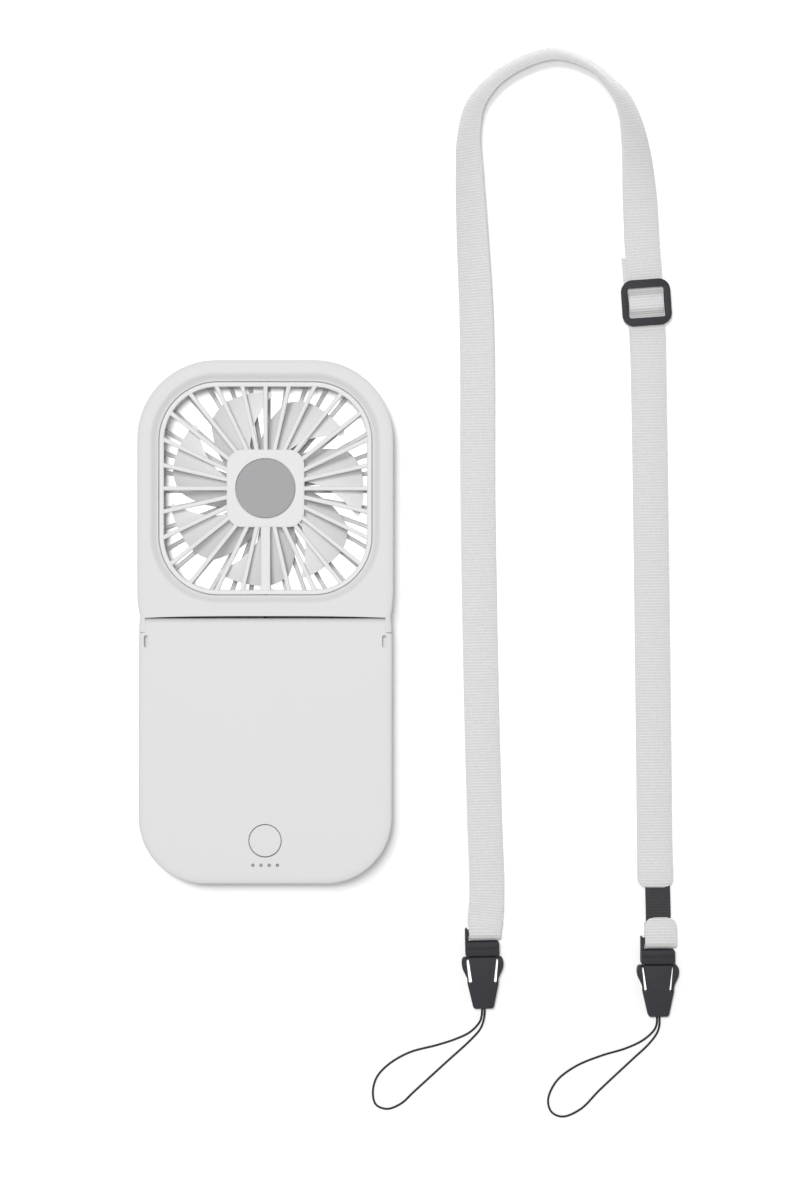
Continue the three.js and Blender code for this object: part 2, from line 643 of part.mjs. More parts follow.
function impeller() {
  const cupInner = ROTOR_RADIUS + 0.15;
  const cup = turned([
    [1.3, IMPELLER_HUB_FLOOR], [IMPELLER_HUB_RADIUS - 1, IMPELLER_HUB_FLOOR],
    [IMPELLER_HUB_RADIUS, IMPELLER_HUB_FLOOR + 1], [IMPELLER_HUB_RADIUS, IMPELLER_HUB_TOP],
    [cupInner, IMPELLER_HUB_TOP], [cupInner, IMPELLER_HUB_FLOOR + 1.2], [1.3, IMPELLER_HUB_FLOOR + 1.2],
  ], 0, ROTOR_Y, WHEEL_SIDES);
  const bore = rod(0, ROTOR_Y, [0, FAR], cupInner, WHEEL_SIDES);
  const blades = Array.from({ length: BLADES }, (_, i) => blade((-360 * i) / BLADES));
  return cup.add(join(blades).subtract(bore));
}

function rotorCup() {
  const floor = IMPELLER_HUB_FLOOR + 1.5;
  const top = IMPELLER_HUB_TOP - 0.5;
  const inner = ROTOR_RADIUS - ROTOR_WALL;
  const eye = SHAFT_RADIUS + SHAFT_GAP;
  return turned([
    [eye, floor], [ROTOR_RADIUS, floor], [ROTOR_RADIUS, top], [inner, top],
    [inner, floor + ROTOR_WALL], [eye, floor + ROTOR_WALL],
  ], 0, ROTOR_Y, WHEEL_SIDES);
}

// Wound stator: a core ring on the hub's boss with nine coil blocks round it
function stator() {
  const low = IMPELLER_HUB_FLOOR + 4;
  const top = IMPELLER_HUB_TOP - 1;
  const eye = BOSS_RADIUS + 0.15;
  const coreRadius = 5;
  const core = turned([
    [eye, low + 1], [coreRadius, low + 1], [coreRadius, top - 1], [eye, top - 1],
  ], 0, ROTOR_Y);
  const coil = block([-1.3, 1.3], [coreRadius - 0.6, STATOR_RADIUS], [low, top]);
  const coils = Array.from({ length: POLES }, (_, i) => coil.rotate([0, 0, (360 * i) / POLES]));
  return core.add(join(coils).translate([0, ROTOR_Y, 0]));
}

function motorBush() {
  const low = IMPELLER_HUB_FLOOR + 3.8;
  const top = low + 6;
  const outer = BOSS_RADIUS - 1.1;
  const eye = SHAFT_RADIUS + SHAFT_GAP;
  return turned([[eye, low], [outer, low], [outer, top], [eye, top]], 0, ROTOR_Y);
}

const motorShaft = () => rod(0, ROTOR_Y, [IMPELLER_HUB_FLOOR + 0.2, GRILLE_FACE - 1.8], SHAFT_RADIUS);

// Round button with a flange that keeps it in its hole
function powerButton() {
  const top = FAN_THICKNESS - 0.05;
  const flange = FAN_THICKNESS - WALL - GAP;
  const stem = 1.5;
  const edge = 0.25;
  return turned([
    [0, BUTTON_STEM_END], [stem, BUTTON_STEM_END], [stem, flange - 1],
    [BUTTON_FLANGE_RADIUS, flange - 1], [BUTTON_FLANGE_RADIUS, flange],
    [BUTTON_RADIUS, flange], [BUTTON_RADIUS, top - edge], [BUTTON_RADIUS - edge, top], [0, top],
  ], 0, BUTTON_Y, WHEEL_SIDES);
}

function lightGuide() {
  const barTop = FAN_THICKNESS - WALL - GAP;
  const bar = block([-5, 5], [LIGHT_Y - 0.8, LIGHT_Y + 0.8], [barTop - 2, barTop]);
  const pegZ = [barTop - 1, FAN_THICKNESS - 0.1];
  const pegs = lightPlaces().map((x) => rod(x, LIGHT_Y, pegZ, LIGHT_PEG_RADIUS, SMALL_SIDES));
  return join([bar, ...pegs]);
}

const boardTop = BOARD_BOTTOM + BOARD_THICKNESS;
function circuitBoard() {
  return roundedPrism(17.8, 8.6, 4, [BOARD_BOTTOM, boardTop], [0, BUTTON_Y - 0.6]);
}

// Metal charging socket shell, open at its mouth, with a tongue inside
function chargingSocket() {
  const [halfX, halfY] = [SOCKET_WIDTH / 2, SOCKET_HEIGHT / 2];
  const outer = roundedPrism(halfX, halfY, halfY - 0.05, [0, SOCKET_LENGTH]);
  const inner = roundedPrism(halfX - SOCKET_WALL, halfY - SOCKET_WALL, halfY - 0.4, [-1, SOCKET_LENGTH - 1]);
  const tongue = block([-3.3, 3.3], [-0.35, 0.35], [1.2, SOCKET_LENGTH - 0.5]);
  const socket = outer.subtract(inner).add(tongue);
  return socket.rotate([-90, 0, 0]).translate([0, -HALF_LENGTH + 0.6, SOCKET_Z]);
}

function tactSwitch() {
  const body = roundedPrism(3, 3, 0.5, [boardTop + 0.02, boardTop + 0.9], [0, BUTTON_Y]);
  const plunger = rod(0, BUTTON_Y, [boardTop + 0.5, BUTTON_STEM_END - BUTTON_TRAVEL - 0.1], 1.6, SMALL_SIDES);
  return body.add(plunger);
}

// Soft-edged pouch cell
function batteryCell() {
  const rings = [[23, 19.5, 2.4], [24, 20.5, 3.2], [24, 20.5, 9.6], [23, 19.5, 10.4]].map(([x, y, z]) => (
    roundedOutline(x, y, 3, SMALL_ARC_STEPS).map(([u, v]) => [u, v - 29.5, z])
  ));
  return loft(rings);
}

const tubeSection = (radius) => {
  const shape = new THREE.Shape();
  shape.absarc(0, 0, radius, 0, 2 * Math.PI);
  return shape;
};

// Round cord along hand-picked points
function tube(points, radius, steps) {
  const path = new THREE.CatmullRomCurve3(points.map((point) => new THREE.Vector3(...point)));
  const options = { extrudePath: path, steps, curveSegments: TUBE_SIDES / 2 };
  return solid(new THREE.ExtrudeGeometry(tubeSection(radius), options));
}

// Motor lead: board to the hinge, across it, and along the wide spoke to the stator
function motorLead() {
  const [baseStop, headStop] = [BASE_END - 0.2, HEAD_END + 0.2];
  const base = [[6, -53, 14.6], [6, -40, 14.4], [3, -22, 14.6], [0, -9, LEAD_Z], [0, baseStop - 0.2, LEAD_Z]];
  const hinge = [[0, baseStop, LEAD_Z], [0, HINGE_LINE, LEAD_Z], [0, headStop, LEAD_Z]];
  const head = [
    [0, headStop + 0.2, LEAD_Z], [0, 9.5, LEAD_SPOKE_Z], [0, 24, LEAD_SPOKE_Z],
    [0, 30.5, LEAD_SPOKE_Z - 0.15],
  ];
  return [tube(base, LEAD_RADIUS, 14), tube(hinge, LEAD_RADIUS, 2), tube(head, LEAD_RADIUS, 9)];
}

function hingePin(side) {
  const x = side > 0 ? [PIN_INNER, PIN_OUTER] : [-PIN_OUTER, -PIN_INNER];
  return crossRod(x, AXIS_Y, AXIS_Z, PIN_RADIUS, SMALL_SIDES);
}

function hingeWasher(side) {
  const [low, high] = [WASHER_SEAT + 0.2, WASHER_SEAT + 0.6];
  const x = side > 0 ? [low, high] : [-high, -low];
  const bore = crossRod([-FAR, FAR], AXIS_Y, AXIS_Z, PIN_HOLE_RADIUS, SMALL_SIDES);
  return crossRod(x, AXIS_Y, AXIS_Z, WASHER_RADIUS, SMALL_SIDES).subtract(bore);
}

// Flat strap through samples of a place and a width direction
function ribbon(samples, thickness) {
  const at = samples.map(({ place: p }) => new THREE.Vector3(...p));
  const rings = samples.map(({ across, width }, i) => {
    const ahead = at[Math.min(i + 1, at.length - 1)];
    const behind = at[Math.max(i - 1, 0)];
    const tangent = ahead.clone().sub(behind).normalize();
    const wide = new THREE.Vector3(...across).normalize();
    const up = tangent.clone().cross(wide).normalize();
    const corner = (w, t) => at[i].clone()
      .addScaledVector(wide, (w * width) / 2)
      .addScaledVector(up, (t * thickness) / 2)
      .toArray();
    return [corner(-1, -1), corner(1, -1), corner(1, 1), corner(-1, 1)];
  });
  return loft(rings);
}

// Strap laid along [x, y, lean, lift] stops: lean turns it from flat (0) to standing on its outer edge (90)
function laidStrap(stops, steps, width = STRAP_WIDTH) {
  const places = stops.map(([x, y]) => new THREE.Vector3(x, y, 0));
  const route = new THREE.CatmullRomCurve3(places, false, 'centripetal');
  const samples = [];
  for (let i = 0; i <= steps; i += 1) {
    const u = (i / steps) * (stops.length - 1);
    const k = Math.min(Math.floor(u), stops.length - 2);
    const lean = radians(THREE.MathUtils.lerp(stops[k][2], stops[k + 1][2], u - k));
    const lift = THREE.MathUtils.lerp(stops[k][3], stops[k + 1][3], u - k);
    const point = route.getPoint(i / steps);
    const tangent = route.getTangent(i / steps);
    const across = [tangent.y * Math.cos(lean), -tangent.x * Math.cos(lean), Math.sin(lean)];
    const rise = (Math.sin(lean) * width + Math.cos(lean) * STRAP_THICKNESS) / 2;
    samples.push({ place: [point.x, point.y, STRAP_REST + lift + rise], across, width });
  }
  return samples;
}

// Points and directions in a frame set at a buckle or the adjuster, turned by its lean
function leanFrame([x, y], leanDeg) {
  const [c, s] = [Math.cos(radians(leanDeg)), Math.sin(radians(leanDeg))];
  return {
    point: (u, v, z) => [x + u * c - v * s, y + u * s + v * c, z],
    across: [c, s, 0],
    set: (body) => body.rotate([0, 0, leanDeg]).translate([x, y, 0]),
  };
}

const LAYER = STRAP_THICKNESS + 0.35;
const LINK_LAYER = 1.05;
const LINK_WIDTH = 7.1;
const LINK_THICKNESS = 0.6;
const BAR_V = BUCKLE_BLOCK + 2.5;
const BAR_Z = 2.7;
const FOLD_RADIUS = BUCKLE_BAR_RADIUS + STRAP_THICKNESS / 2 + GAP;
const FOLD_WIDTH = 9;
const FOLD_SHIFT = 0.85;
const FOLD_TOP_LIFT = BAR_Z + FOLD_RADIUS - STRAP_REST - STRAP_THICKNESS / 2;
const leftFrame = leanFrame(LEFT_BUCKLE, LEFT_BUCKLE_LEAN_DEG);
const rightFrame = leanFrame(RIGHT_BUCKLE, RIGHT_BUCKLE_LEAN_DEG);
const sliderFrame = leanFrame(SLIDER_CENTRE, SLIDER_LEAN_DEG);

// Strap round a buckle bar, from its tail under the bar to its top
function barFold(frame, tail, tailZ) {
  const bend = (angle) => [BAR_V - FOLD_RADIUS * Math.cos(angle), BAR_Z + FOLD_RADIUS * Math.sin(angle)];
  const stops = [[BAR_V + tail, tailZ]];
  for (let i = 0; i <= 6; i += 1) {
    stops.push(bend(Math.PI * (i / 6 - 0.5)));
  }
  return stops.map(([v, z]) => (
    { place: frame.point(FOLD_SHIFT, v, z), across: frame.across, width: FOLD_WIDTH }
  ));
}

// Long strap: left buckle, left leg, the arch on its edge, then through the adjuster down to the link
function neckStrap() {
  const start = leftFrame.point(FOLD_SHIFT, BAR_V + 3, 0);
  const leg = laidStrap([
    [start[0], start[1], 0, FOLD_TOP_LIFT], [62.1, -78, 0, 0.4], [61.5, -56.5, 0, 0], [60.6, -22.7, 0, 0],
    [59.6, 34.7, 0, 0], [59.2, 84, 14, 0], [57.9, 110.6, 30, 0], [57.1, 126.9, 42, 0], [56.9, 137.5, 52, 0],
    [58.7, 146.3, 58, 0], [64, 153.2, 63, 0], [71.5, 158.1, 63, 0], [80.8, 160.8, 63, 0],
    [88.2, 159.1, 66, 0], [93.3, 156.1, 70, 0], [97, 152.7, 66, 0], [100.2, 148.8, 57, 0],
    [102.6, 142.9, 49, 0.3], [104.2, 134.7, 35, 0.7], [105, 127, 22, 1], [105.6, 118.8, 8, LAYER],
    [106.3, 106.4, 0, LAYER], [106.9, 99.2, 0, LAYER],
  ], 88);
  const hump = [[6, 0], [4.3, 0], [3, 0.6], [1.6, 1.9], [0, 2.2], [-1.6, 1.9], [-3, 0.6], [-4.3, 0], [-6, 0]];
  const middle = hump.map(([v, lift]) => ({
    place: sliderFrame.point(0, v, STRAP_REST + LAYER + lift + STRAP_THICKNESS / 2),
    across: sliderFrame.across.map((value) => -value),
    width: STRAP_WIDTH,
  }));
  const lower = laidStrap([
    [108, 80.7, 0, LAYER], [108.4, 51, 0, LAYER], [108.9, 15.2, 0, LAYER], [109.5, -35.9, 0, LAYER],
    [109.8, -63.5, 0, LAYER], [109.9, -70.7, 0, LAYER + LINK_LAYER], [109.9, -75.4, 0, LAYER + LINK_LAYER],
  ], 18);
  const fold = barFold(leftFrame, 6, BAR_Z - FOLD_RADIUS);
  return ribbon([...fold, ...leg, ...middle, ...lower], STRAP_THICKNESS);
}

// Second layer of the lower leg, sewn back to the adjuster's middle bar
function returnStrap() {
  const route = [[105.4, 103.8], [106.2, 95.1], [107.6, 82.8], [108.5, 51.1], [109.6, -36], [110, -75.5]];
  return ribbon(laidStrap(route.map(([x, y]) => [x, y, 0, 0]), 24), STRAP_THICKNESS);
}

// Dark narrow strip sewn between the long strap and the short end strap
function strapLink() {
  const route = [[110.6, -73.3, 1.9], [110.7, -77.9, 2.05], [110.8, -84, 2.4], [110.8, -86.7, 2.45]];
  return ribbon(route.map((place) => ({ place, across: [1, 0, 0], width: LINK_WIDTH })), LINK_THICKNESS);
}

// Short strap that folds round the right buckle's bar and holds the strip between its ends
function endStrap() {
  const fold = barFold(rightFrame, 6.6, 1.4);
  const top = rightFrame.point(FOLD_SHIFT, BAR_V + 6.6, 3.55);
  return ribbon([...fold, { place: top, across: rightFrame.across, width: FOLD_WIDTH }], STRAP_THICKNESS);
}

// Three-bar adjuster
function adjusterSlider() {
  const [halfX, halfY] = [SLIDER_WINDOW[0] / 2, SLIDER_WINDOW[1] / 2];
  const low = STRAP_REST + LAYER + STRAP_THICKNESS + 0.25;
  const z = [low, low + 1.9];
  const frame = roundedPrism(halfX + SLIDER_BAR, halfY + SLIDER_BAR + 0.4, SLIDER_CORNER, z)
    .subtract(roundedPrism(halfX, halfY, 0.6, [0, FAR]));
  const barZ = [STRAP_REST + LAYER + 0.2, STRAP_REST + LAYER + 1.4];
  const bar = block([-halfX - SLIDER_BAR, halfX + SLIDER_BAR], [-0.8, 0.8], barZ);
  const posts = sides.map(([, side]) => {
    const x = side > 0 ? [halfX, halfX + SLIDER_BAR] : [-halfX - SLIDER_BAR, -halfX];
    return block(x, [-0.8, 0.8], [barZ[0], z[1] - 0.5]);
  });
  return sliderFrame.set(join([frame, bar, ...posts]));
}

// Upper buckle half: a block with a groove, a fin and bar for the strap, and a tongue for the clip
function strapBuckle(frame) {
  const half = BUCKLE_WIDTH / 2;
  const z = [STRAP_REST, STRAP_REST + BUCKLE_THICKNESS];
  const body = roundedPrism(half, BUCKLE_BLOCK / 2, 0.5, z, [0, BUCKLE_BLOCK / 2]);
  const groove = block([-FAR, FAR], [2, 2.5], [z[1] - 0.4, FAR]);
  const finOutline = [
    [-half, BUCKLE_BLOCK - 0.5], [-half + 0.95, BUCKLE_BLOCK - 0.5], [-half + 0.9, BAR_V + 0.6],
    [-half + 0.4, BAR_V + 1.4], [-half, BAR_V + 1],
  ];
  const fin = extruded(finOutline, [1.2, 4.2]);
  const bar = crossRod([-half + 0.2, half + 0.6], BAR_V, BAR_Z, BUCKLE_BAR_RADIUS, SMALL_SIDES);
  const tongue = block([-2, 2], [-9, 1], [1.9, 3.3]);
  return frame.set(join([body.subtract(groove), fin, bar, tongue]));
}

// Lower buckle half: tapered body with two sprung side arms and a pocket for the tongue
function buckleClip(frame) {
  const z = [STRAP_REST + 0.2, STRAP_REST + 0.2 + CLIP_THICKNESS];
  const tip = CLIP_TIP_WIDTH / 2;
  const rightEdge = [
    [3.9, -GAP], [4.1, -0.55], [4.7, -0.45], [5.35, -0.55], [5.75, -1.1], [5.9, -2.2], [5.65, -3.7],
    [4.95, -5.2], [4.5, -6.4], [4.35, -8], [tip + 0.35, -CLIP_LENGTH + 0.5], [tip - 0.15, -CLIP_LENGTH],
  ];
  const outline = [...rightEdge.toReversed(), ...rightEdge.map(([x, y]) => [-x, y])];
  const slit = [[3.95, -0.9], [4.6, -0.85], [3.9, -7.95], [3.05, -7.75]];
  const slits = [slit, slit.map(([x, y]) => [-x, y])];
  const pocket = block([-2.3, 2.3], [-9.4, 1], [1.6, 3.6]);
  return frame.set(extruded(outline, z, slits).subtract(pocket));
}

// Thin cord loop that leaves the clip's tip, drops to the surface and comes back
function loopCord(frame, route) {
  const exitZ = STRAP_REST + 0.2 + CLIP_THICKNESS / 2;
  const restZ = CORD_RADIUS + 0.3;
  const start = frame.point(-CORD_SPREAD, -CLIP_LENGTH - GAP, exitZ);
  const end = frame.point(CORD_SPREAD, -CLIP_LENGTH - GAP, exitZ);
  const fallZ = (exitZ + restZ) / 2 + 0.2;
  const laid = route.map(([x, y], i) => [x, y, i === 0 || i === route.length - 1 ? fallZ : restZ]);
  return tube([start, ...laid, end], CORD_RADIUS, LOOP_STEPS);
}

const leftLoop = [
  [60.6, -112.2], [60, -114.2], [57.4, -116.9], [53, -119], [48, -120.6], [39.9, -122.8], [33.7, -126.5],
  [30.6, -130.2], [29.7, -134.5], [30.6, -137.6], [33.7, -138.8], [37.7, -137.3], [41.4, -133.9],
  [50.7, -125.4], [57.4, -119.3], [60.3, -116], [61.35, -112.6],
];
const rightLoop = [
  [110.4, -114.4], [109.6, -116.6], [106.5, -119.3], [101.6, -121.6], [94.9, -123.6], [87.4, -126.7],
  [82, -130.9], [79.6, -136.2], [80.6, -139.7], [83.7, -141], [88.8, -138.9], [94.3, -133.4],
  [103.5, -124.8], [108.2, -120.4], [110.5, -117.4], [111.15, -114.8],
];

// Base
place('base_front_shell', baseFrontShell(), whiteShell);
place('base_rear_shell', baseRearShell(), whiteShell);
place('battery_cell', batteryCell(), foil);
place('circuit_board', circuitBoard(), boardGreen);
place('charging_socket', chargingSocket(), steel);
place('tact_switch', tactSwitch(), blackPlastic);
place('led_light_guide', lightGuide(), clearGuide);
place('power_button', powerButton(), whiteShell);
baseScrews.forEach(([x, y], i) => place(`base_screw_${i + 1}`, screw(x, y), steel));
sides.forEach(([name, side]) => {
  place(`hinge_pin_${name}`, hingePin(side), steel);
  place(`hinge_washer_${name}`, hingeWasher(side), steel);
});

// Head
place('head_front_frame', headFrontFrame(), whiteShell);
place('front_grille', frontGrille(), whiteGrille);
place('hub_disc', hubDisc(), greyDisc);
place('head_rear_cover', headRearCover(), whiteShell);
headScrews.forEach(([x, y], i) => place(`head_screw_${i + 1}`, screw(x, y), steel));
place('motor_stator', stator(), copper);
place('motor_bush', motorBush(), bronze);
const leadNames = ['base_lead', 'hinge_lead', 'head_lead'];
motorLead().forEach((lead, i) => place(leadNames[i], lead, blackCord));

// Turning parts
place('impeller', impeller(), whiteBlade);
place('rotor_cup', rotorCup(), steel);
place('motor_shaft', motorShaft(), steel);

// Lanyard
place('neck_strap', neckStrap(), whiteStrap);
place('return_strap', returnStrap(), whiteStrap);
place('adjuster_slider', adjusterSlider(), blackPlastic);
place('strap_link', strapLink(), darkStrap);
place('end_strap', endStrap(), whiteStrap);
place('left_strap_buckle', strapBuckle(leftFrame), blackPlastic);
place('right_strap_buckle', strapBuckle(rightFrame), blackPlastic);
place('left_clip', buckleClip(leftFrame), blackPlastic);
place('right_clip', buckleClip(rightFrame), blackPlastic);
place('left_loop_cord', loopCord(leftFrame, leftLoop), blackCord);
place('right_loop_cord', loopCord(rightFrame, rightLoop), blackCord);

export default part;
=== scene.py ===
"""Folding desk fan with its neck lanyard: visible pieces, finishes, light and camera.

Lengths are millimetres in the code and metres in the scene. +X is the fan's right, +Y runs from the base to
the fan head and +Z leaves the front face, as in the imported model.
"""
from __future__ import annotations

import logging
import math
from dataclasses import dataclass, field
from enum import Enum
from functools import lru_cache
from typing import Callable, Dict, Iterable, List, Optional, Sequence, Tuple

import bmesh
import bpy
from mathutils import Matrix, Vector
from mathutils.geometry import tessellate_polygon


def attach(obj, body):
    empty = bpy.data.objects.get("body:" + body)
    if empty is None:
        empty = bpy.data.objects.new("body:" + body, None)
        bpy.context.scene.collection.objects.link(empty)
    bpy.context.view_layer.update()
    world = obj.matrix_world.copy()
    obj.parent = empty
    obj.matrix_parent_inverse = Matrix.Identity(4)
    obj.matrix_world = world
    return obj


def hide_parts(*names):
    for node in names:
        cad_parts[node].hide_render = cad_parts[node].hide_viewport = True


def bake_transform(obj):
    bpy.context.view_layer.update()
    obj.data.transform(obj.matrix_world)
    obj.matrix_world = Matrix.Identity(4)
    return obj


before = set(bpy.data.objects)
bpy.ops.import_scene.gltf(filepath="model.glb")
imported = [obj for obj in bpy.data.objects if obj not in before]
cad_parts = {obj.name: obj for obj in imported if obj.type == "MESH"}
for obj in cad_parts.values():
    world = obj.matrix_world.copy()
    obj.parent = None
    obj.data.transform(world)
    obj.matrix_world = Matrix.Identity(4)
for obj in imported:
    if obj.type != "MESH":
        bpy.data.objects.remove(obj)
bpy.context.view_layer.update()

LOG = logging.getLogger("fan")
MM = 0.001
# Facets in an outline's corner, in a rounded edge and round a full turn
ARC = 20
EDGE_ARC = 6
WHEEL = 72
# A distance beyond every piece in millimetres, and the distance in metres within which points are one
FAR = 120.0
WELD = 2e-6

Flat = Tuple[float, float]
Point = Tuple[float, float, float]
Ring = List[Point]
Colour = Tuple[float, float, float]


class Body(Enum):
    """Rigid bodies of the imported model."""

    BASE = "base"
    HEAD = "head"
    ROTOR = "rotor"
    BUTTON = "button"
    LEFT_CLIP = "left_clip_body"
    RIGHT_CLIP = "right_clip_body"


class Side(Enum):
    """Left and right of the fan, as the sign of X."""

    LEFT = -1
    RIGHT = 1

    def span(self, near: float, far: float) -> Flat:
        """Stretch of X on this side between two distances from the middle, its lower end first."""
        return tuple(sorted((self.value * near, self.value * far)))


class Draft:
    """A mesh that is being put together, in millimetres."""

    def __init__(self) -> None:
        """Start with nothing."""
        self.points: List[Point] = []
        self.faces: List[Tuple[int, ...]] = []
        self.lay: List[Point] = []

    def add(self, points: Sequence[Point], faces: Iterable[Sequence[int]]) -> "Draft":
        """Append a set of points and the faces between them.

        Args:
            points: corners in millimetres.
            faces: corner numbers, counted from the first of these points.

        Returns:
            This draft.
        """
        first = len(self.points)
        self.points.extend(tuple(point) for point in points)
        self.faces.extend(tuple(first + i for i in face) for face in faces)
        return self

    def loft(self, rings: Sequence[Ring], caps: bool = True, closed: bool = False) -> "Draft":
        """Skin a stack of rings with equal counts of points.

        Args:
            rings: counter-clockwise outlines, seen from the way the stack grows.
            caps: close the first and the last ring with a face.
            closed: join the last ring to the first one.

        Returns:
            This draft.
        """
        count = len(rings[0])
        points = [point for ring in rings for point in ring]
        faces: List[Tuple[int, ...]] = []
        for ring in range(len(rings) if closed else len(rings) - 1):
            low, high = ring * count, ((ring + 1) % len(rings)) * count
            for i in range(count):
                j = (i + 1) % count
                faces.append((low + i, low + j, high + j, high + i))
        if caps and not closed:
            last = (len(rings) - 1) * count
            faces.append(tuple(reversed(range(count))))
            faces.append(tuple(range(last, last + count)))
        return self.add(points, faces)

    def plate(self, outer: Ring, holes: Sequence[Ring], up: bool) -> "Draft":
        """Fill the flat area between an outline and its holes.

        Args:
            outer: outline, all at one height.
            holes: outlines inside it.
            up: whether the area faces +Z.

        Returns:
            This draft.
        """
        loops = [[Vector(point) for point in ring] for ring in (outer, *holes)]
        points = [tuple(point) for loop in loops for point in loop]
        faces = []
        for a, b, c in tessellate_polygon(loops):
            pa, pb, pc = points[a], points[b], points[c]
            turn = (pb[0] - pa[0]) * (pc[1] - pa[1]) - (pb[1] - pa[1]) * (pc[0] - pa[0])
            faces.append((a, b, c) if (turn > 0) == up else (c, b, a))
        return self.add(points, faces)

    def prism(self, outline: Sequence[Flat], low: float, high: float,
              holes: Sequence[Sequence[Flat]] = ()) -> "Draft":
        """Extrude a counter-clockwise outline along +Z.

        Args:
            outline: corners of the outline.
            low: height of its lower face.
            high: height of its upper face.
            holes: counter-clockwise outlines that go right through.

        Returns:
            This draft.
        """
        lower, upper = at_height(outline, low), at_height(outline, high)
        if not holes:
            return self.loft([lower, upper])
        self.loft([lower, upper], caps=False)
        for hole in holes:
            self.loft([at_height(hole, high), at_height(hole, low)], caps=False)
        self.plate(upper, [at_height(hole, high) for hole in holes], up=True)
        return self.plate(lower, [at_height(hole, low) for hole in holes], up=False)

    def box(self, x: Flat, y: Flat, z: Flat) -> "Draft":
        """Add a block between two corners, given axis by axis."""
        return self.prism([(x[0], y[0]), (x[1], y[0]), (x[1], y[1]), (x[0], y[1])], z[0], z[1])

    def lathe(self, profile: Sequence[Flat], centre: Flat, sides: int = WHEEL) -> "Draft":
        """Turn an open profile about a vertical line and close its ends with flat faces.

        Args:
            profile: (radius, height) from the lower end to the upper one.
            centre: place of the line.
            sides: number of facets round it.

        Returns:
            This draft.
        """
        return self.loft([circle(radius, z, centre, sides) for radius, z in profile])

    def rod(self, radius: float, low: float, high: float, centre: Flat, sides: int = WHEEL) -> "Draft":
        """Add an upright rod between two heights."""
        return self.lathe([(radius, low), (radius, high)], centre, sides)

    def tube_ring(self, profile: Sequence[Flat], centre: Flat, sides: int = WHEEL) -> "Draft":
        """Turn a closed profile, counter-clockwise in (radius, height), about a vertical line."""
        rings = [circle(radius, z, centre, sides) for radius, z in profile]
        return self.loft(rings, closed=True)

    def bar(self, x: Flat, outline: Sequence[Flat]) -> "Draft":
        """Extrude an outline of (y, z) corners, counter-clockwise seen from +X, along +X."""
        return self.loft([[(place, y, z) for y, z in outline] for place in x])

    def moved(self, matrix: Matrix) -> "Draft":
        """Return this draft with every point moved by a matrix."""
        self.points = [tuple(matrix @ Vector(point)) for point in self.points]
        return self

    def join(self, other: "Draft") -> "Draft":
        """Append another draft's points and faces."""
        return self.add(other.points, other.faces)

    def mesh(self, name: str) -> bpy.types.Object:
        """Make a Blender object of the draft.

        Args:
            name: name of the object.

        Returns:
            The new object, in metres.
        """
        data = bpy.data.meshes.new(name)
        data.from_pydata([tuple(c * MM for c in point) for point in self.points], [], self.faces)
        if self.lay:
            layer = data.attributes.new("lay", "FLOAT_VECTOR", "POINT")
            layer.data.foreach_set("vector", [c for place in self.lay for c in place])
        work = bmesh.new()
        work.from_mesh(data)
        bmesh.ops.remove_doubles(work, verts=work.verts, dist=WELD)
        bmesh.ops.recalc_face_normals(work, faces=work.faces)
        work.to_mesh(data)
        work.free()
        piece = bpy.data.objects.new(name, data)
        bpy.context.scene.collection.objects.link(piece)
        return piece


def drawn_in(outline: Sequence[Flat], depth: float) -> List[Flat]:
    """Move every edge of an outline inwards.

    Args:
        outline: counter-clockwise corners.
        depth: distance to move by.

    Returns:
        The smaller outline's corners.
    """
    moved = []
    for i, (x, y) in enumerate(outline):
        before = (Vector((x, y)) - Vector(outline[i - 1])).normalized()
        after = (Vector(outline[(i + 1) % len(outline)]) - Vector((x, y))).normalized()
        inwards = Vector((-before.y - after.y, before.x + after.x))
        step = 2 * depth / max(inwards.length_squared, 0.5)
        moved.append((x + inwards.x * step, y + inwards.y * step))
    return moved


def pillow(outline: Sequence[Flat], low: float, high: float, radius: float, steps: int = 4) -> List[Ring]:
    """Stack of outlines for a plate whose lower and upper edges are rounded.

    Args:
        outline: counter-clockwise outline of its sides.
        low: height of its lower face.
        high: height of its upper face.
        radius: radius of the rounding.
        steps: facets in it.

    Returns:
        Outlines from the bottom to the top.
    """
    rings = []
    for i in range(steps + 1):
        angle = i / steps * math.pi / 2
        back, rise = radius * (1 - math.sin(angle)), radius * (1 - math.cos(angle))
        rings.append(at_height(drawn_in(outline, back), low + rise))
    upper = [[(x, y, low + high - z) for x, y, z in ring] for ring in reversed(rings)]
    return [*rings, *upper]


def at_height(outline: Iterable[Flat], z: float) -> Ring:
    """Place a flat outline at a height."""
    return [(x, y, z) for x, y in outline]


def circle(radius: float, z: float, centre: Flat, sides: int) -> Ring:
    """Counter-clockwise circle about a vertical line."""
    turns = [2 * math.pi * i / sides for i in range(sides)]
    return [(centre[0] + radius * math.cos(t), centre[1] + radius * math.sin(t), z) for t in turns]


def rounded_outline(half_x: float, half_y: float, corner: float, steps: int = ARC,
                    centre: Flat = (0.0, 0.0)) -> List[Flat]:
    """Counter-clockwise outline of a rectangle with round corners.

    Args:
        half_x: half of its width.
        half_y: half of its height.
        corner: radius of the corners.
        steps: facets in each corner.
        centre: place of its middle.

    Returns:
        The outline's corners.
    """
    outline = []
    for quarter, (sign_x, sign_y) in enumerate(((1, 1), (-1, 1), (-1, -1), (1, -1))):
        for i in range(steps + 1):
            angle = (quarter + i / steps) * math.pi / 2
            x = sign_x * (half_x - corner) + corner * math.cos(angle)
            y = sign_y * (half_y - corner) + corner * math.sin(angle)
            outline.append((centre[0] + x, centre[1] + y))
    return outline


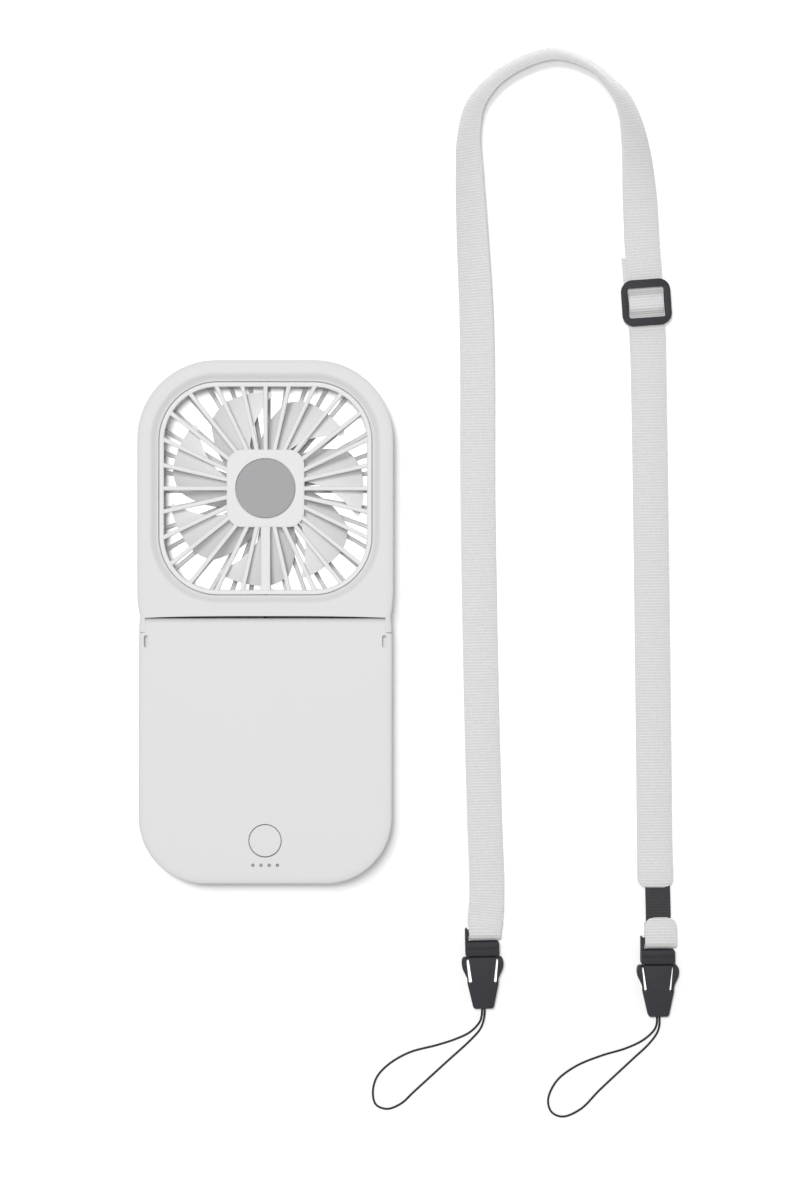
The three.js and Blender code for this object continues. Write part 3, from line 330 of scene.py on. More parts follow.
def outline_reach(half: float, corner: float, angle: float) -> float:
    """Distance from the middle of a rounded square to its edge.

    Args:
        half: half of the square's width.
        corner: radius of its corners.
        angle: direction, in radians.

    Returns:
        The distance along that direction.
    """
    x, y = abs(math.cos(angle)), abs(math.sin(angle))
    straight = half / max(x, y)
    if min(x, y) * straight <= half - corner:
        return straight
    middle = half - corner
    along = middle * (x + y)
    return along + math.sqrt(max(along * along - 2 * middle * middle + corner * corner, 0.0))


def rounded_profile(low: Flat, high: Flat, radius: float, steps: int = 3) -> List[Flat]:
    """Closed outline of a bar's section with its two upper edges rounded.

    Args:
        low: lower left corner.
        high: upper right corner.
        radius: radius of the upper edges.
        steps: facets in each of them.

    Returns:
        Counter-clockwise corners.
    """
    outline = [low, (high[0], low[1])]
    for centre_x, start in ((high[0] - radius, 0.0), (low[0] + radius, math.pi / 2)):
        for i in range(steps + 1):
            angle = start + (i / steps) * math.pi / 2
            outline.append((centre_x + radius * math.cos(angle), high[1] - radius + radius * math.sin(angle)))
    return outline


def rim_round(radius: float, top: float, edge: float, steps: int = 4) -> List[Flat]:
    """Profile of the rounded upper rim of a disc.

    Args:
        radius: radius of the disc.
        top: height of its face.
        edge: radius of the rounding.
        steps: facets in it.

    Returns:
        (radius, height) from the side to the face, without the first point.
    """
    turns = [i / steps * math.pi / 2 for i in range(1, steps + 1)]
    return [(radius - edge * (1 - math.cos(t)), top - edge * (1 - math.sin(t))) for t in turns]


class Carving(Enum):
    """Ways to combine two solids."""

    CUT = "DIFFERENCE"
    JOIN = "UNION"


def carve(piece: bpy.types.Object, tools: Iterable[Draft], way: Carving = Carving.CUT) -> bpy.types.Object:
    """Cut solids out of a piece, or join them to it.

    Args:
        piece: object to change.
        tools: closed solids.
        way: cut or join.

    Returns:
        The same object with a new mesh.
    """
    for tool in tools:
        cutter = tool.mesh("cutter")
        modifier = piece.modifiers.new("carve", "BOOLEAN")
        modifier.operation = way.value
        modifier.solver = "EXACT"
        modifier.object = cutter
        settle(piece)
        old = cutter.data
        bpy.data.objects.remove(cutter)
        bpy.data.meshes.remove(old)
    return piece


def settle(piece: bpy.types.Object) -> bpy.types.Object:
    """Turn a piece's modifiers into its mesh, and close slits that they leave.

    Args:
        piece: object with modifiers.

    Returns:
        The same object with a new mesh.
    """
    bpy.context.view_layer.update()
    graph = bpy.context.evaluated_depsgraph_get()
    data = bpy.data.meshes.new_from_object(piece.evaluated_get(graph))
    old = piece.data
    piece.modifiers.clear()
    piece.data = data
    data.name = piece.name
    work = bmesh.new()
    work.from_mesh(data)
    bmesh.ops.remove_doubles(work, verts=work.verts, dist=WELD)
    bmesh.ops.dissolve_degenerate(work, edges=work.edges, dist=WELD)
    bmesh.ops.holes_fill(work, edges=[edge for edge in work.edges if edge.is_boundary], sides=0)
    work.to_mesh(data)
    work.free()
    bpy.data.meshes.remove(old)
    return piece


def soften(piece: bpy.types.Object, width: float, segments: int = 2, angle: float = 40.0) -> bpy.types.Object:
    """Round the sharp edges of a piece.

    Args:
        piece: object to change.
        width: width of the rounding in millimetres.
        segments: facets across it.
        angle: edges sharper than this, in degrees, are rounded.

    Returns:
        The same object with a new mesh.
    """
    modifier = piece.modifiers.new("soften", "BEVEL")
    modifier.width = width * MM
    modifier.segments = segments
    modifier.limit_method = "ANGLE"
    modifier.angle_limit = math.radians(angle)
    modifier.use_clamp_overlap = True
    return settle(piece)


def shade(piece: bpy.types.Object, angle: float = 38.0) -> None:
    """Shade a mesh smoothly, with edges sharper than an angle left crisp."""
    piece.data.shade_smooth()
    piece.data.set_sharp_from_angle(angle=math.radians(angle))


# Shared effects


def new_group(name: str, inputs: Sequence[Tuple[str, float]], outputs: Sequence[str]) -> bpy.types.NodeTree:
    """Start a shader node group with number sockets.

    Args:
        name: name of the group.
        inputs: names and first values of its inputs.
        outputs: names of its outputs.

    Returns:
        The group, with its two socket nodes named "in" and "out".
    """
    tree = bpy.data.node_groups.new(name, "ShaderNodeTree")
    for label, value in inputs:
        socket = tree.interface.new_socket(label, in_out="INPUT", socket_type="NodeSocketFloat")
        socket.default_value = value
    for label in outputs:
        tree.interface.new_socket(label, in_out="OUTPUT", socket_type="NodeSocketFloat")
    tree.nodes.new("NodeGroupInput").name = "in"
    tree.nodes.new("NodeGroupOutput").name = "out"
    return tree


def feed(tree: bpy.types.NodeTree, socket: bpy.types.NodeSocket, value: object) -> None:
    """Link an input to another socket, or set it to a number.

    Args:
        tree: tree of the input's node.
        socket: the input.
        value: a socket or a number.
    """
    if isinstance(value, bpy.types.NodeSocket):
        tree.links.new(value, socket)
    else:
        socket.default_value = float(value)


def math_node(tree: bpy.types.NodeTree, operation: str, *values: object) -> bpy.types.NodeSocket:
    """Add a math node whose inputs are sockets or numbers.

    Args:
        tree: tree to add it to.
        operation: the node's operation.
        values: one to three sockets or numbers.

    Returns:
        Its output.
    """
    node = tree.nodes.new("ShaderNodeMath")
    node.operation = operation
    for socket, value in zip(node.inputs, values):
        feed(tree, socket, value)
    return node.outputs[0]


def seen_rays(tree: bpy.types.NodeTree) -> bpy.types.NodeSocket:
    """Tell rays that the camera sees, straight, mirrored or through glass, from light on the object.

    Args:
        tree: tree to add the nodes to.

    Returns:
        A value that is 1 for such rays.
    """
    rays = tree.nodes.new("ShaderNodeLightPath").outputs
    mirrored = math_node(tree, "MAXIMUM", rays["Is Glossy Ray"], rays["Is Transmission Ray"])
    return math_node(tree, "MAXIMUM", rays["Is Camera Ray"], mirrored)


def noise_node(tree: bpy.types.NodeTree, place: bpy.types.NodeSocket, scale: object,
               detail: float) -> bpy.types.NodeSocket:
    """Add a noise texture and return its factor.

    Args:
        tree: tree to add it to.
        place: coordinates.
        scale: features for each metre, as a number or a socket.
        detail: octaves.

    Returns:
        The noise factor.
    """
    node = tree.nodes.new("ShaderNodeTexNoise")
    node.inputs["Detail"].default_value = detail
    tree.links.new(place, node.inputs["Vector"])
    feed(tree, node.inputs["Scale"], scale)
    return node.outputs["Fac"]


@lru_cache(maxsize=None)
def grain_group() -> bpy.types.NodeTree:
    """Moulded surface: fine height for a bump, and slow mottling for colour and gloss.

    Returns:
        The group, made on the first call.
    """
    tree = new_group("moulded_grain", [("Fine Scale", 2600.0), ("Slow Scale", 60.0)], ["Height", "Mottle"])
    entry, leave = tree.nodes["in"], tree.nodes["out"]
    place = tree.nodes.new("ShaderNodeTexCoord").outputs["Object"]
    fine = noise_node(tree, place, entry.outputs["Fine Scale"], 3.0)
    slow = noise_node(tree, place, entry.outputs["Slow Scale"], 4.0)
    tree.links.new(fine, leave.inputs["Height"])
    tree.links.new(math_node(tree, "SUBTRACT", slow, 0.5), leave.inputs["Mottle"])
    return tree


@lru_cache(maxsize=None)
def dust_group() -> bpy.types.NodeTree:
    """Faint dust on faces that look up, in specks.

    Returns:
        The group, made on the first call.
    """
    tree = new_group("settled_dust", [("Amount", 0.05), ("Scale", 900.0)], ["Mask"])
    entry, leave = tree.nodes["in"], tree.nodes["out"]
    place = tree.nodes.new("ShaderNodeTexCoord").outputs["Object"]
    split = tree.nodes.new("ShaderNodeSeparateXYZ")
    tree.links.new(tree.nodes.new("ShaderNodeNewGeometry").outputs["Normal"], split.inputs[0])
    up = math_node(tree, "MAXIMUM", split.outputs["Z"], 0.0)
    specks = math_node(tree, "POWER", noise_node(tree, place, entry.outputs["Scale"], 2.0), 6.0)
    mask = math_node(tree, "MULTIPLY", math_node(tree, "MULTIPLY", specks, up), entry.outputs["Amount"])
    tree.links.new(math_node(tree, "MULTIPLY", mask, 20.0), leave.inputs["Mask"])
    return tree


@lru_cache(maxsize=None)
def weave_group() -> bpy.types.NodeTree:
    """Ribbed webbing: ribs across the strap, threads along it and firmer edges, with painted shade in the rib
    grooves and darker towards the edges.

    Returns:
        The group, made on the first call.
    """
    inputs = [("Rib Pitch", 0.8), ("Thread Pitch", 0.5), ("Half Width", 5.0)]
    tree = new_group("ribbed_weave", inputs, ["Height", "Shade"])
    entry, leave = tree.nodes["in"], tree.nodes["out"]
    source = tree.nodes.new("ShaderNodeAttribute")
    source.attribute_name = "lay"
    split = tree.nodes.new("ShaderNodeSeparateXYZ")
    tree.links.new(source.outputs["Vector"], split.inputs[0])
    along, across = split.outputs["X"], split.outputs["Y"]
    waves = []
    for way, pitch in ((along, "Rib Pitch"), (across, "Thread Pitch")):
        turns = math_node(tree, "DIVIDE", way, entry.outputs[pitch])
        waves.append(math_node(tree, "SINE", math_node(tree, "MULTIPLY", turns, 2 * math.pi)))
    rib, thread = waves
    wander = noise_node(tree, source.outputs["Vector"], 1.6, 3.0)
    edge = math_node(tree, "DIVIDE", math_node(tree, "ABSOLUTE", across), entry.outputs["Half Width"])
    firm = math_node(tree, "SUBTRACT", 1.0, math_node(tree, "POWER", edge, 14.0))
    ribs = math_node(tree, "MULTIPLY", math_node(tree, "MULTIPLY_ADD", rib, 0.5, 0.5), firm)
    height = math_node(tree, "MULTIPLY_ADD", thread, 0.12, ribs)
    uneven = math_node(tree, "MULTIPLY", wander, 0.3)
    tree.links.new(math_node(tree, "ADD", height, uneven), leave.inputs["Height"])
    # painted shade: darker in the rib grooves and lighter on the crests, and darker towards the edges where
    # the ribs fade; the slow noise is random tone
    painted_rib_shade = math_node(tree, "SUBTRACT", ribs, 0.5)
    slow_tone = math_node(tree, "SUBTRACT", wander, 0.5)
    tree.links.new(math_node(tree, "MULTIPLY_ADD", painted_rib_shade, 0.7, slow_tone), leave.inputs["Shade"])
    return tree


# Finishes


class Finish:
    """A surface finish that makes its Blender material once."""

    name: str
    slot: str

    def material(self) -> bpy.types.Material:
        """Look up the finish's material, or make it on the first call.

        Returns:
            The material.
        """
        found = bpy.data.materials.get(self.name)
        if found is None:
            found = bpy.data.materials.new(self.name)
            found.use_nodes = True
            self.paint(found.node_tree, found.node_tree.nodes["Principled BSDF"])
        return found

    def paint(self, tree: bpy.types.NodeTree, shader: bpy.types.Node) -> None:
        """Link the finish's nodes to the shader."""
        raise NotImplementedError


def place_group(tree: bpy.types.NodeTree, group: bpy.types.NodeTree, **values: float) -> bpy.types.Node:
    """Add a shared effect to a material.

    Args:
        tree: the material's tree.
        group: the effect.
        values: its inputs, with underscores for spaces.

    Returns:
        The group node.
    """
    node = tree.nodes.new("ShaderNodeGroup")
    node.node_tree = group
    for label, value in values.items():
        node.inputs[label.replace("_", " ")].default_value = value
    return node


def link_tint(tree: bpy.types.NodeTree, shader: bpy.types.Node, colour: Colour, mask: bpy.types.NodeSocket,
              depth: float) -> None:
    """Vary a base colour by a mask around zero.

    Args:
        tree: the material's tree.
        shader: its shader.
        colour: the colour where the mask is zero.
        mask: values around zero.
        depth: share of the colour that a mask of one takes or gives.
    """
    scale = tree.nodes.new("ShaderNodeVectorMath")
    scale.operation = "SCALE"
    scale.inputs[0].default_value = colour
    tree.links.new(math_node(tree, "MULTIPLY_ADD", mask, depth, 1.0), scale.inputs["Scale"])
    tree.links.new(scale.outputs[0], shader.inputs["Base Color"])


def link_bump(tree: bpy.types.NodeTree, shader: bpy.types.Node, height: bpy.types.NodeSocket,
              depth: float) -> None:
    """Raise the surface by a height.

    Args:
        tree: the material's tree.
        shader: its shader.
        height: values between zero and about one.
        depth: millimetres for a height of one.
    """
    bump = tree.nodes.new("ShaderNodeBump")
    bump.inputs["Strength"].default_value = 1.0
    bump.inputs["Distance"].default_value = depth * MM
    tree.links.new(height, bump.inputs["Height"])
    tree.links.new(bump.outputs["Normal"], shader.inputs["Normal"])


@dataclass(frozen=True)
class Moulded(Finish):
    """Injection-moulded plastic with a fine grain."""

    name: str
    slot: str
    colour: Colour
    roughness: float = 0.5
    grain: float = 0.01
    fine_scale: float = 2600.0
    mottle: float = 0.05
    dust: float = 0.03
    gloss: float = 0.3

    def paint(self, tree: bpy.types.NodeTree, shader: bpy.types.Node) -> None:
        """Grain as a bump, mottling in colour and gloss, and a little dust.

        Args:
            tree: the material's tree.
            shader: its shader.
        """
        grain = place_group(tree, grain_group(), Fine_Scale=self.fine_scale)
        dust = place_group(tree, dust_group(), Amount=self.dust)
        mottle = math_node(tree, "ADD", grain.outputs["Mottle"], dust.outputs["Mask"])
        link_tint(tree, shader, self.colour, mottle, self.mottle)
        rough = math_node(tree, "MULTIPLY_ADD", grain.outputs["Mottle"], 0.2, self.roughness)
        tree.links.new(rough, shader.inputs["Roughness"])
        link_bump(tree, shader, grain.outputs["Height"], self.grain)
        shader.inputs["Specular IOR Level"].default_value = self.gloss


@dataclass(frozen=True)
class Metal(Finish):
    """Plated or drawn metal with faint scratches of tone."""

    name: str
    slot: str
    colour: Colour
    roughness: float = 0.3
    grain: float = 0.003

    def paint(self, tree: bpy.types.NodeTree, shader: bpy.types.Node) -> None:
        """Metal with mottled gloss.

        Args:
            tree: the material's tree.
            shader: its shader.
        """
        grain = place_group(tree, grain_group(), Fine_Scale=4000.0, Slow_Scale=400.0)
        link_tint(tree, shader, self.colour, grain.outputs["Mottle"], 0.25)
        rough = math_node(tree, "MULTIPLY_ADD", grain.outputs["Mottle"], 0.3, self.roughness)
        tree.links.new(rough, shader.inputs["Roughness"])
        link_bump(tree, shader, grain.outputs["Height"], self.grain)
        shader.inputs["Metallic"].default_value = 1.0


@dataclass(frozen=True)
class Webbing(Finish):
    """Woven strap with ribs across it."""

    name: str
    slot: str
    colour: Colour
    rib_pitch: float = 0.82
    half_width: float = 5.0
    depth: float = 0.09
    # depth of the painted shade in the rib grooves and of the random tone
    tone: float = 0.2
    sheen: float = 1.0

    def paint(self, tree: bpy.types.NodeTree, shader: bpy.types.Node) -> None:
        """Ribs in height, painted shade in the rib grooves with random tone, on a matt fibre surface.

        Args:
            tree: the material's tree.
            shader: its shader.
        """
        weave = place_group(tree, weave_group(), Rib_Pitch=self.rib_pitch, Half_Width=self.half_width)
        link_tint(tree, shader, self.colour, weave.outputs["Shade"], self.tone)
        link_bump(tree, shader, weave.outputs["Height"], self.depth)
        shader.inputs["Roughness"].default_value = 0.9
        shader.inputs["Sheen Weight"].default_value = self.sheen


@dataclass(frozen=True)
class TableTop(Finish):
    """Pale table that shines a little to the camera, so that it looks white and still takes the shadow, with
    painted light under the grille and the clip slits.
    """

    name: str
    slot: str
    colour: Colour
    glow: float
    # areas of painted light on the table: under the grille and under the two clip slits
    painted_light_areas: Tuple[Tuple[Flat, Flat], ...]
    case: Tuple[Flat, Flat]
    # strength of the painted light that covers the shadow under the grille and the clip slits
    painted_light_glow: float = 0.9
    far_glow: float = 0.8
    far_start: float = 0.25
    far_rise: float = 0.8
    edge: Flat = (0.7, 1.1)
    squareness: float = 4.0

    def paint(self, tree: bpy.types.NodeTree, shader: bpy.types.Node) -> None:
        """Matt surface with a glow for the camera: none under the case, rising far off, and strong under the
        grille and the clip slits, where it is painted light over the table's shadow.

        Args:
            tree: the material's tree.
            shader: its shader.
        """
        grain = place_group(tree, grain_group())
        link_tint(tree, shader, self.colour, grain.outputs["Mottle"], 0.004)
        shader.inputs["Roughness"].default_value = 0.9
        away = tree.nodes.new("ShaderNodeVectorMath")
        away.operation = "LENGTH"
        tree.links.new(tree.nodes.new("ShaderNodeTexCoord").outputs["Object"], away.inputs[0])
        past = math_node(tree, "SUBTRACT", away.outputs["Value"], self.far_start)
        far = math_node(tree, "MINIMUM", math_node(tree, "MULTIPLY", past, self.far_rise), self.far_glow)
        glow = math_node(tree, "MAXIMUM", self.step(tree, self.case, 0.0, self.glow), far)
        # painted light: a strong glow under the grille and the clip slits that covers the shadow on the table
        for painted_area in self.painted_light_areas:
            glow = math_node(tree, "MAXIMUM", glow, self.step(tree, painted_area, self.painted_light_glow, 0.0))
        tree.links.new(math_node(tree, "MULTIPLY", seen_rays(tree), glow), shader.inputs["Emission Strength"])
        shader.inputs["Emission Color"].default_value = (1.0, 1.0, 1.0, 1.0)

    def step(self, tree: bpy.types.NodeTree, area: Tuple[Flat, Flat], within: float,
             beyond: float) -> bpy.types.NodeSocket:
        """Value that changes at the edge of a rounded area.

        Args:
            tree: the material's tree.
            area: middle and half sizes of the area.
            within: value inside it.
            beyond: value outside it.

        Returns:
            The value.
        """
        split = tree.nodes.new("ShaderNodeSeparateXYZ")
        tree.links.new(tree.nodes.new("ShaderNodeTexCoord").outputs["Object"], split.inputs[0])
        reach = 0.0
        for axis, middle, half in zip("XY", *area):
            off = math_node(tree, "ABSOLUTE", math_node(tree, "SUBTRACT", split.outputs[axis], middle * MM))
            share = math_node(tree, "DIVIDE", off, half * MM)
            reach = math_node(tree, "ADD", math_node(tree, "POWER", share, self.squareness), reach)
        edge = tree.nodes.new("ShaderNodeMapRange")
        edge.interpolation_type = "SMOOTHSTEP"
        for label, value in zip(("From Min", "From Max", "To Min", "To Max"), (*self.edge, within, beyond)):
            edge.inputs[label].default_value = value
        tree.links.new(reach, edge.inputs["Value"])
        return edge.outputs["Result"]


WHITE_SHELL = Moulded("white shell plastic", "white_shell", (0.702, 0.702, 0.706), 0.6,
                      dust=0.02, mottle=0.016)
# The grille is the shell's white plastic in a lighter colour: painted light that offsets the shade where it
# sits below the rim
WHITE_GRILLE_PAINTED_LIGHTER = Moulded("white grille plastic painted lighter", "white_shell", (0.735, 0.735, 0.738), 0.55,
                       grain=0.006, mottle=0.02)
WHITE_BLADE = Moulded("white blade plastic", "white_blade", (0.76, 0.76, 0.765), 0.5,
                      grain=0.004, mottle=0.02)
GREY_DISC = Moulded("grey disc plastic", "grey_disc", (0.362, 0.362, 0.37), 0.55,
                    grain=0.004, mottle=0.05, gloss=0.15)
CLEAR_GUIDE = Moulded("light guide plastic", "clear_guide", (0.42, 0.42, 0.43), 0.25,
                      grain=0.001, mottle=0.06)
BLACK_PLASTIC = Moulded("black buckle plastic", "black_plastic", (0.028, 0.027, 0.033), 0.55,
                        grain=0.012, fine_scale=1800.0, mottle=0.3, dust=0.2, gloss=0.2)
# A webbing's tone is the depth of the painted shade in its rib grooves and of its random tone
WHITE_STRAP = Webbing("white ribbed webbing", "white_strap", (0.702, 0.702, 0.706))
DARK_STRAP = Webbing("dark woven strip", "dark_strap", (0.04, 0.039, 0.044),
                     half_width=3.5, tone=0.4, sheen=0.15)
BLACK_CORD = Moulded("black cord", "black_cord", (0.016, 0.016, 0.018), 0.7,
                     grain=0.12, fine_scale=1500.0, mottle=0.6, dust=0.4)
STEEL = Metal("plated steel", "steel", (0.6, 0.6, 0.62), 0.3)
BRONZE = Metal("bearing bronze", "bronze", (0.55, 0.4, 0.2), 0.4)
COPPER = Metal("copper winding", "copper_winding", (0.6, 0.3, 0.15), 0.45, grain=0.05)
FOIL = Metal("cell foil", "cell_foil", (0.7, 0.71, 0.73), 0.35, grain=0.02)
BOARD = Moulded("board laminate", "board", (0.03, 0.2, 0.08), 0.4, grain=0.004, mottle=0.3)
# The case, its grille and the two clips are given by their middles and half sizes on the table; the glow
# under the grille and the clips is painted light that hides the shadow on the table there
TABLE = TableTop("white table with painted light", "stage", (0.96, 0.96, 0.96), 0.1, case=((0.0, 0.0), (33.8, 68.0)),
                 painted_light_areas=(((0.0, 37.2), (29.0, 29.0)), ((61.0, -99.6), (4.8, 4.4)),
                        ((110.8, -101.9), (4.8, 4.4))))


def dress(piece: bpy.types.Object, finish: Finish, body: Optional[Body], *nodes: str) -> bpy.types.Object:
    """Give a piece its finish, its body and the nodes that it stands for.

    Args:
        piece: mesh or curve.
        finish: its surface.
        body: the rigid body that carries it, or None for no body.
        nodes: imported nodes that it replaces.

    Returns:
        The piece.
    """
    piece.data.materials.clear()
    piece.data.materials.append(finish.material())
    if piece.type == "MESH":
        shade(piece)
    if body is not None:
        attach(piece, body.value)
    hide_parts(*nodes)
    LOG.info("%s stands for %s", piece.name, ", ".join(nodes))
    return piece


def dress_node(name: str, finish: Finish) -> None:
    """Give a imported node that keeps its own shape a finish.

    Args:
        name: name of the node.
        finish: its surface.
    """
    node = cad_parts[name]
    node.data.materials.clear()
    node.data.materials.append(finish.material())
    LOG.info("%s keeps its packed shape", name)


# Lines that straps and cords follow


class Route:
    """Smooth line through points, with the knots spread by the root of their distance."""

    def __init__(self, points: Sequence[Sequence[float]]) -> None:
        """Keep the points that the line goes through."""
        self.points = [Vector(point) for point in points]

    def at(self, share: float) -> Vector:
        """Find a place on the line.

        Args:
            share: 0 at the start and 1 at the end; each stretch between two points takes an equal share.

        Returns:
            The place.
        """
        count = len(self.points)
        step = share * (count - 1)
        k = min(int(step), count - 2)
        local = step - k
        p1, p2 = self.points[k], self.points[k + 1]
        p0 = self.points[k - 1] if k > 0 else 2 * p1 - p2
        p3 = self.points[k + 2] if k + 2 < count else 2 * p2 - p1
        d0, d1, d2 = (max((b - a).length, 1e-4) ** 0.5 for a, b in ((p0, p1), (p1, p2), (p2, p3)))
        t1 = ((p1 - p0) / d0 - (p2 - p0) / (d0 + d1) + (p2 - p1) / d1) * d1
        t2 = ((p2 - p1) / d1 - (p3 - p1) / (d1 + d2) + (p3 - p2) / d2) * d1
        c2 = -3 * p1 + 3 * p2 - 2 * t1 - t2
        c3 = 2 * p1 - 2 * p2 + t1 + t2
        return p1 + local * (t1 + local * (c2 + local * c3))

    def samples(self, count: int) -> List[Vector]:
        """Evenly numbered places along the line, both ends included."""
        return [self.at(i / count) for i in range(count + 1)]


@dataclass
class LeanFrame:
    """A flat frame of reference at a place on the table, turned by a few degrees."""

    origin: Flat
    lean: float

    def point(self, u: float, v: float, z: float) -> Vector:
        """Place of local coordinates."""
        return self.matrix() @ Vector((u, v, z))

    def across(self) -> Vector:
        """Direction of the frame's own X."""
        return self.matrix().to_3x3() @ Vector((1, 0, 0))

    def matrix(self) -> Matrix:
        """Matrix from local to table coordinates."""
        turn = Matrix.Rotation(math.radians(self.lean), 4, "Z")
        return Matrix.Translation((self.origin[0], self.origin[1], 0.0)) @ turn

    def place(self, drafts: Iterable[Draft]) -> List[Draft]:
        """Move drafts from local to table coordinates."""
        return [draft.moved(self.matrix()) for draft in drafts]


@dataclass
class Lay:
    """One sample of a strap: its middle, the direction across it and its width."""

    middle: Vector
    across: Vector
    width: float


def ribbon(samples: Sequence[Lay], thickness: float, end_round: float = 0.0) -> Draft:
    """Flat strap with rounded edges through samples.

    Args:
        samples: places and directions along the strap.
        thickness: of the strap.
        end_round: radius of the corners at its last end.

    Returns:
        The strap, with its own length and width coordinates kept as "lay".
    """
    length = line_length([sample.middle for sample in samples])
    facets = 4
    section = []
    for sign, start in ((1, -math.pi / 2), (-1, math.pi / 2)):
        for i in range(facets + 1):
            angle = start + i / facets * math.pi
            section.append((sign, math.cos(angle) * thickness / 2, math.sin(angle) * thickness / 2))
    draft = Draft()
    rings, travelled = [], 0.0
    for i, sample in enumerate(samples):
        ahead = samples[min(i + 1, len(samples) - 1)].middle
        behind = samples[max(i - 1, 0)].middle
        tangent = (ahead - behind).normalized()
        wide = sample.across.normalized()
        up = wide.cross(tangent).normalized()
        if i:
            travelled += (sample.middle - samples[i - 1].middle).length
        short = max(end_round - (length - travelled), 0.0)
        flat = sample.width / 2 - thickness / 2 - end_round + math.sqrt(max(end_round ** 2 - short ** 2, 0.0))
        ring = []
        for sign, out, rise in section:
            offset = sign * flat + out
            ring.append(tuple(sample.middle + wide * offset + up * rise))
            draft.lay.append((travelled, offset, rise))
        rings.append(ring)
    return draft.loft(rings)


def line_length(points: Sequence[Vector]) -> float:
    """Length of a line through points."""
    return sum((b - a).length for a, b in zip(points, points[1:]))


@dataclass
class Lanyard:
    """Neck lanyard laid out beside the fan: straps, adjuster, buckles, clips and cord loops."""

    strap_width: float = 10.0
    strap_thickness: float = 0.9
    strap_rest: float = 0.3
    strap_steps: Tuple[int, int, int, int] = (264, 32, 90, 120)
    layer: float = 1.25
    link_layer: float = 1.05
    link_width: float = 7.1
    link_thickness: float = 0.6
    buckle_width: float = 9.6
    buckle_block: float = 4.0
    buckle_thickness: float = 5.0
    buckle_bar: float = 0.9
    block_corner: float = 0.5
    block_round: float = 0.35
    groove: Flat = (2.0, 2.5)
    groove_depth: float = 0.4
    fin_z: Flat = (1.2, 4.2)
    tongue: Tuple[Flat, Flat, Flat] = ((-2.0, 2.0), (-9.0, 1.0), (1.9, 3.3))
    pocket: Tuple[Flat, Flat, Flat] = ((-2.3, 2.3), (-9.4, 1.0), (1.6, 3.6))
    bar_v: float = 6.5
    bar_z: float = 2.7
    bar_play: float = 0.3
    fold_width: float = 9.0
    fold_shift: float = 0.85
    fold_steps: int = 16
    neck_tail: float = 6.0
    end_tail: Flat = (5.2, 1.4)
    sewn_round: float = 2.3
    end_round: float = 2.6
    end_reach: float = 6.6
    end_top: float = 3.55
    end_swell: float = 0.3
    clip_length: float = 14.9
    clip_thickness: float = 4.4
    clip_tip: float = 5.2
    clip_lift: float = 0.2
    clip_round: float = 0.35
    cord_radius: float = 0.3
    cord_rest: float = 0.3
    cord_fall: float = 0.2
    cord_start: float = 0.3
    cord_steps: int = 180
    cord_spread: float = 0.36
    slider_window: Flat = (10.3, 8.6)
    slider_bar: float = 1.8
    slider_end: float = 2.2
    slider_corner: float = 3.2
    window_corner: float = 0.6
    slider_gap: float = 0.25
    slider_height: float = 1.9
    slider_round: float = 0.55
    middle_bar: Tuple[float, float, float] = (0.8, 1.2, 0.2)
    slider: LeanFrame = field(default_factory=lambda: LeanFrame((107.3, 90.5), 4.0))
    left: LeanFrame = field(default_factory=lambda: LeanFrame((60.8, -94.8), 1.2))
    right: LeanFrame = field(default_factory=lambda: LeanFrame((110.6, -97.1), 0.6))
    left_loop: Tuple[Flat, ...] = (
        (60.6, -112.2), (60, -114.2), (57.4, -116.9), (53, -119), (48, -120.6), (39.9, -122.8),
        (33.7, -126.5), (30.6, -130.2), (29.7, -134.5), (30.6, -137.6), (33.7, -138.8), (37.7, -137.3),
        (41.4, -133.9), (50.7, -125.4), (57.4, -119.3), (60.3, -116), (61.35, -112.6))
    right_loop: Tuple[Flat, ...] = (
        (110.4, -114.4), (109.6, -116.6), (106.5, -119.3), (101.6, -121.6), (94.9, -123.6),
        (87.4, -126.7), (82, -130.9), (79.6, -136.2), (80.6, -139.7), (83.7, -141), (88.8, -138.9),
        (94.3, -133.4), (103.5, -124.8), (108.2, -120.4), (110.5, -117.4), (111.15, -114.8))

    @property
    def fold_radius(self) -> float:
        """Middle radius of a strap that goes round a buckle bar."""
        return self.buckle_bar + self.strap_thickness / 2 + self.bar_play

    def laid(self, stops: Sequence[Sequence[float]], steps: int) -> List[Lay]:
        """Samples of a strap laid along stops.

        Args:
            stops: (x, y, lean, lift); lean turns it from flat (0) to standing on its edge (90).
            steps: number of stretches.

        Returns:
            The samples.
        """
        route = Route([(x, y, 0.0) for x, y, _, _ in stops])
        samples = []
        for i in range(steps + 1):
            share = i / steps
            u = share * (len(stops) - 1)
            k = min(int(u), len(stops) - 2)
            blend = u - k
            lean = math.radians(stops[k][2] + (stops[k + 1][2] - stops[k][2]) * blend)
            lift = stops[k][3] + (stops[k + 1][3] - stops[k][3]) * blend
            place = route.at(share)
            tangent = (route.at(min(share + 1e-3, 1.0)) - route.at(max(share - 1e-3, 0.0))).normalized()
            across = Vector((tangent.y * math.cos(lean), -tangent.x * math.cos(lean), math.sin(lean)))
            rise = (math.sin(lean) * self.strap_width + math.cos(lean) * self.strap_thickness) / 2
            place.z = self.strap_rest + lift + rise
            samples.append(Lay(place, across, self.strap_width))
        return samples

    def bar_fold(self, at: LeanFrame, tail: float, tail_z: float) -> List[Lay]:
        """Samples of a strap round a buckle bar, from its tail under the bar to the top of the bar.

        Args:
            at: the buckle's frame.
            tail: length of the tail.
            tail_z: height of the tail's end.

        Returns:
            The samples.
        """
        spots = [(self.bar_v + tail, tail_z)]
        for i in range(self.fold_steps + 1):
            angle = math.pi * (i / self.fold_steps - 0.5)
            spots.append((self.bar_v - self.fold_radius * math.cos(angle),
                          self.bar_z + self.fold_radius * math.sin(angle)))
        return [Lay(at.point(self.fold_shift, v, z), at.across(), self.fold_width) for v, z in spots]

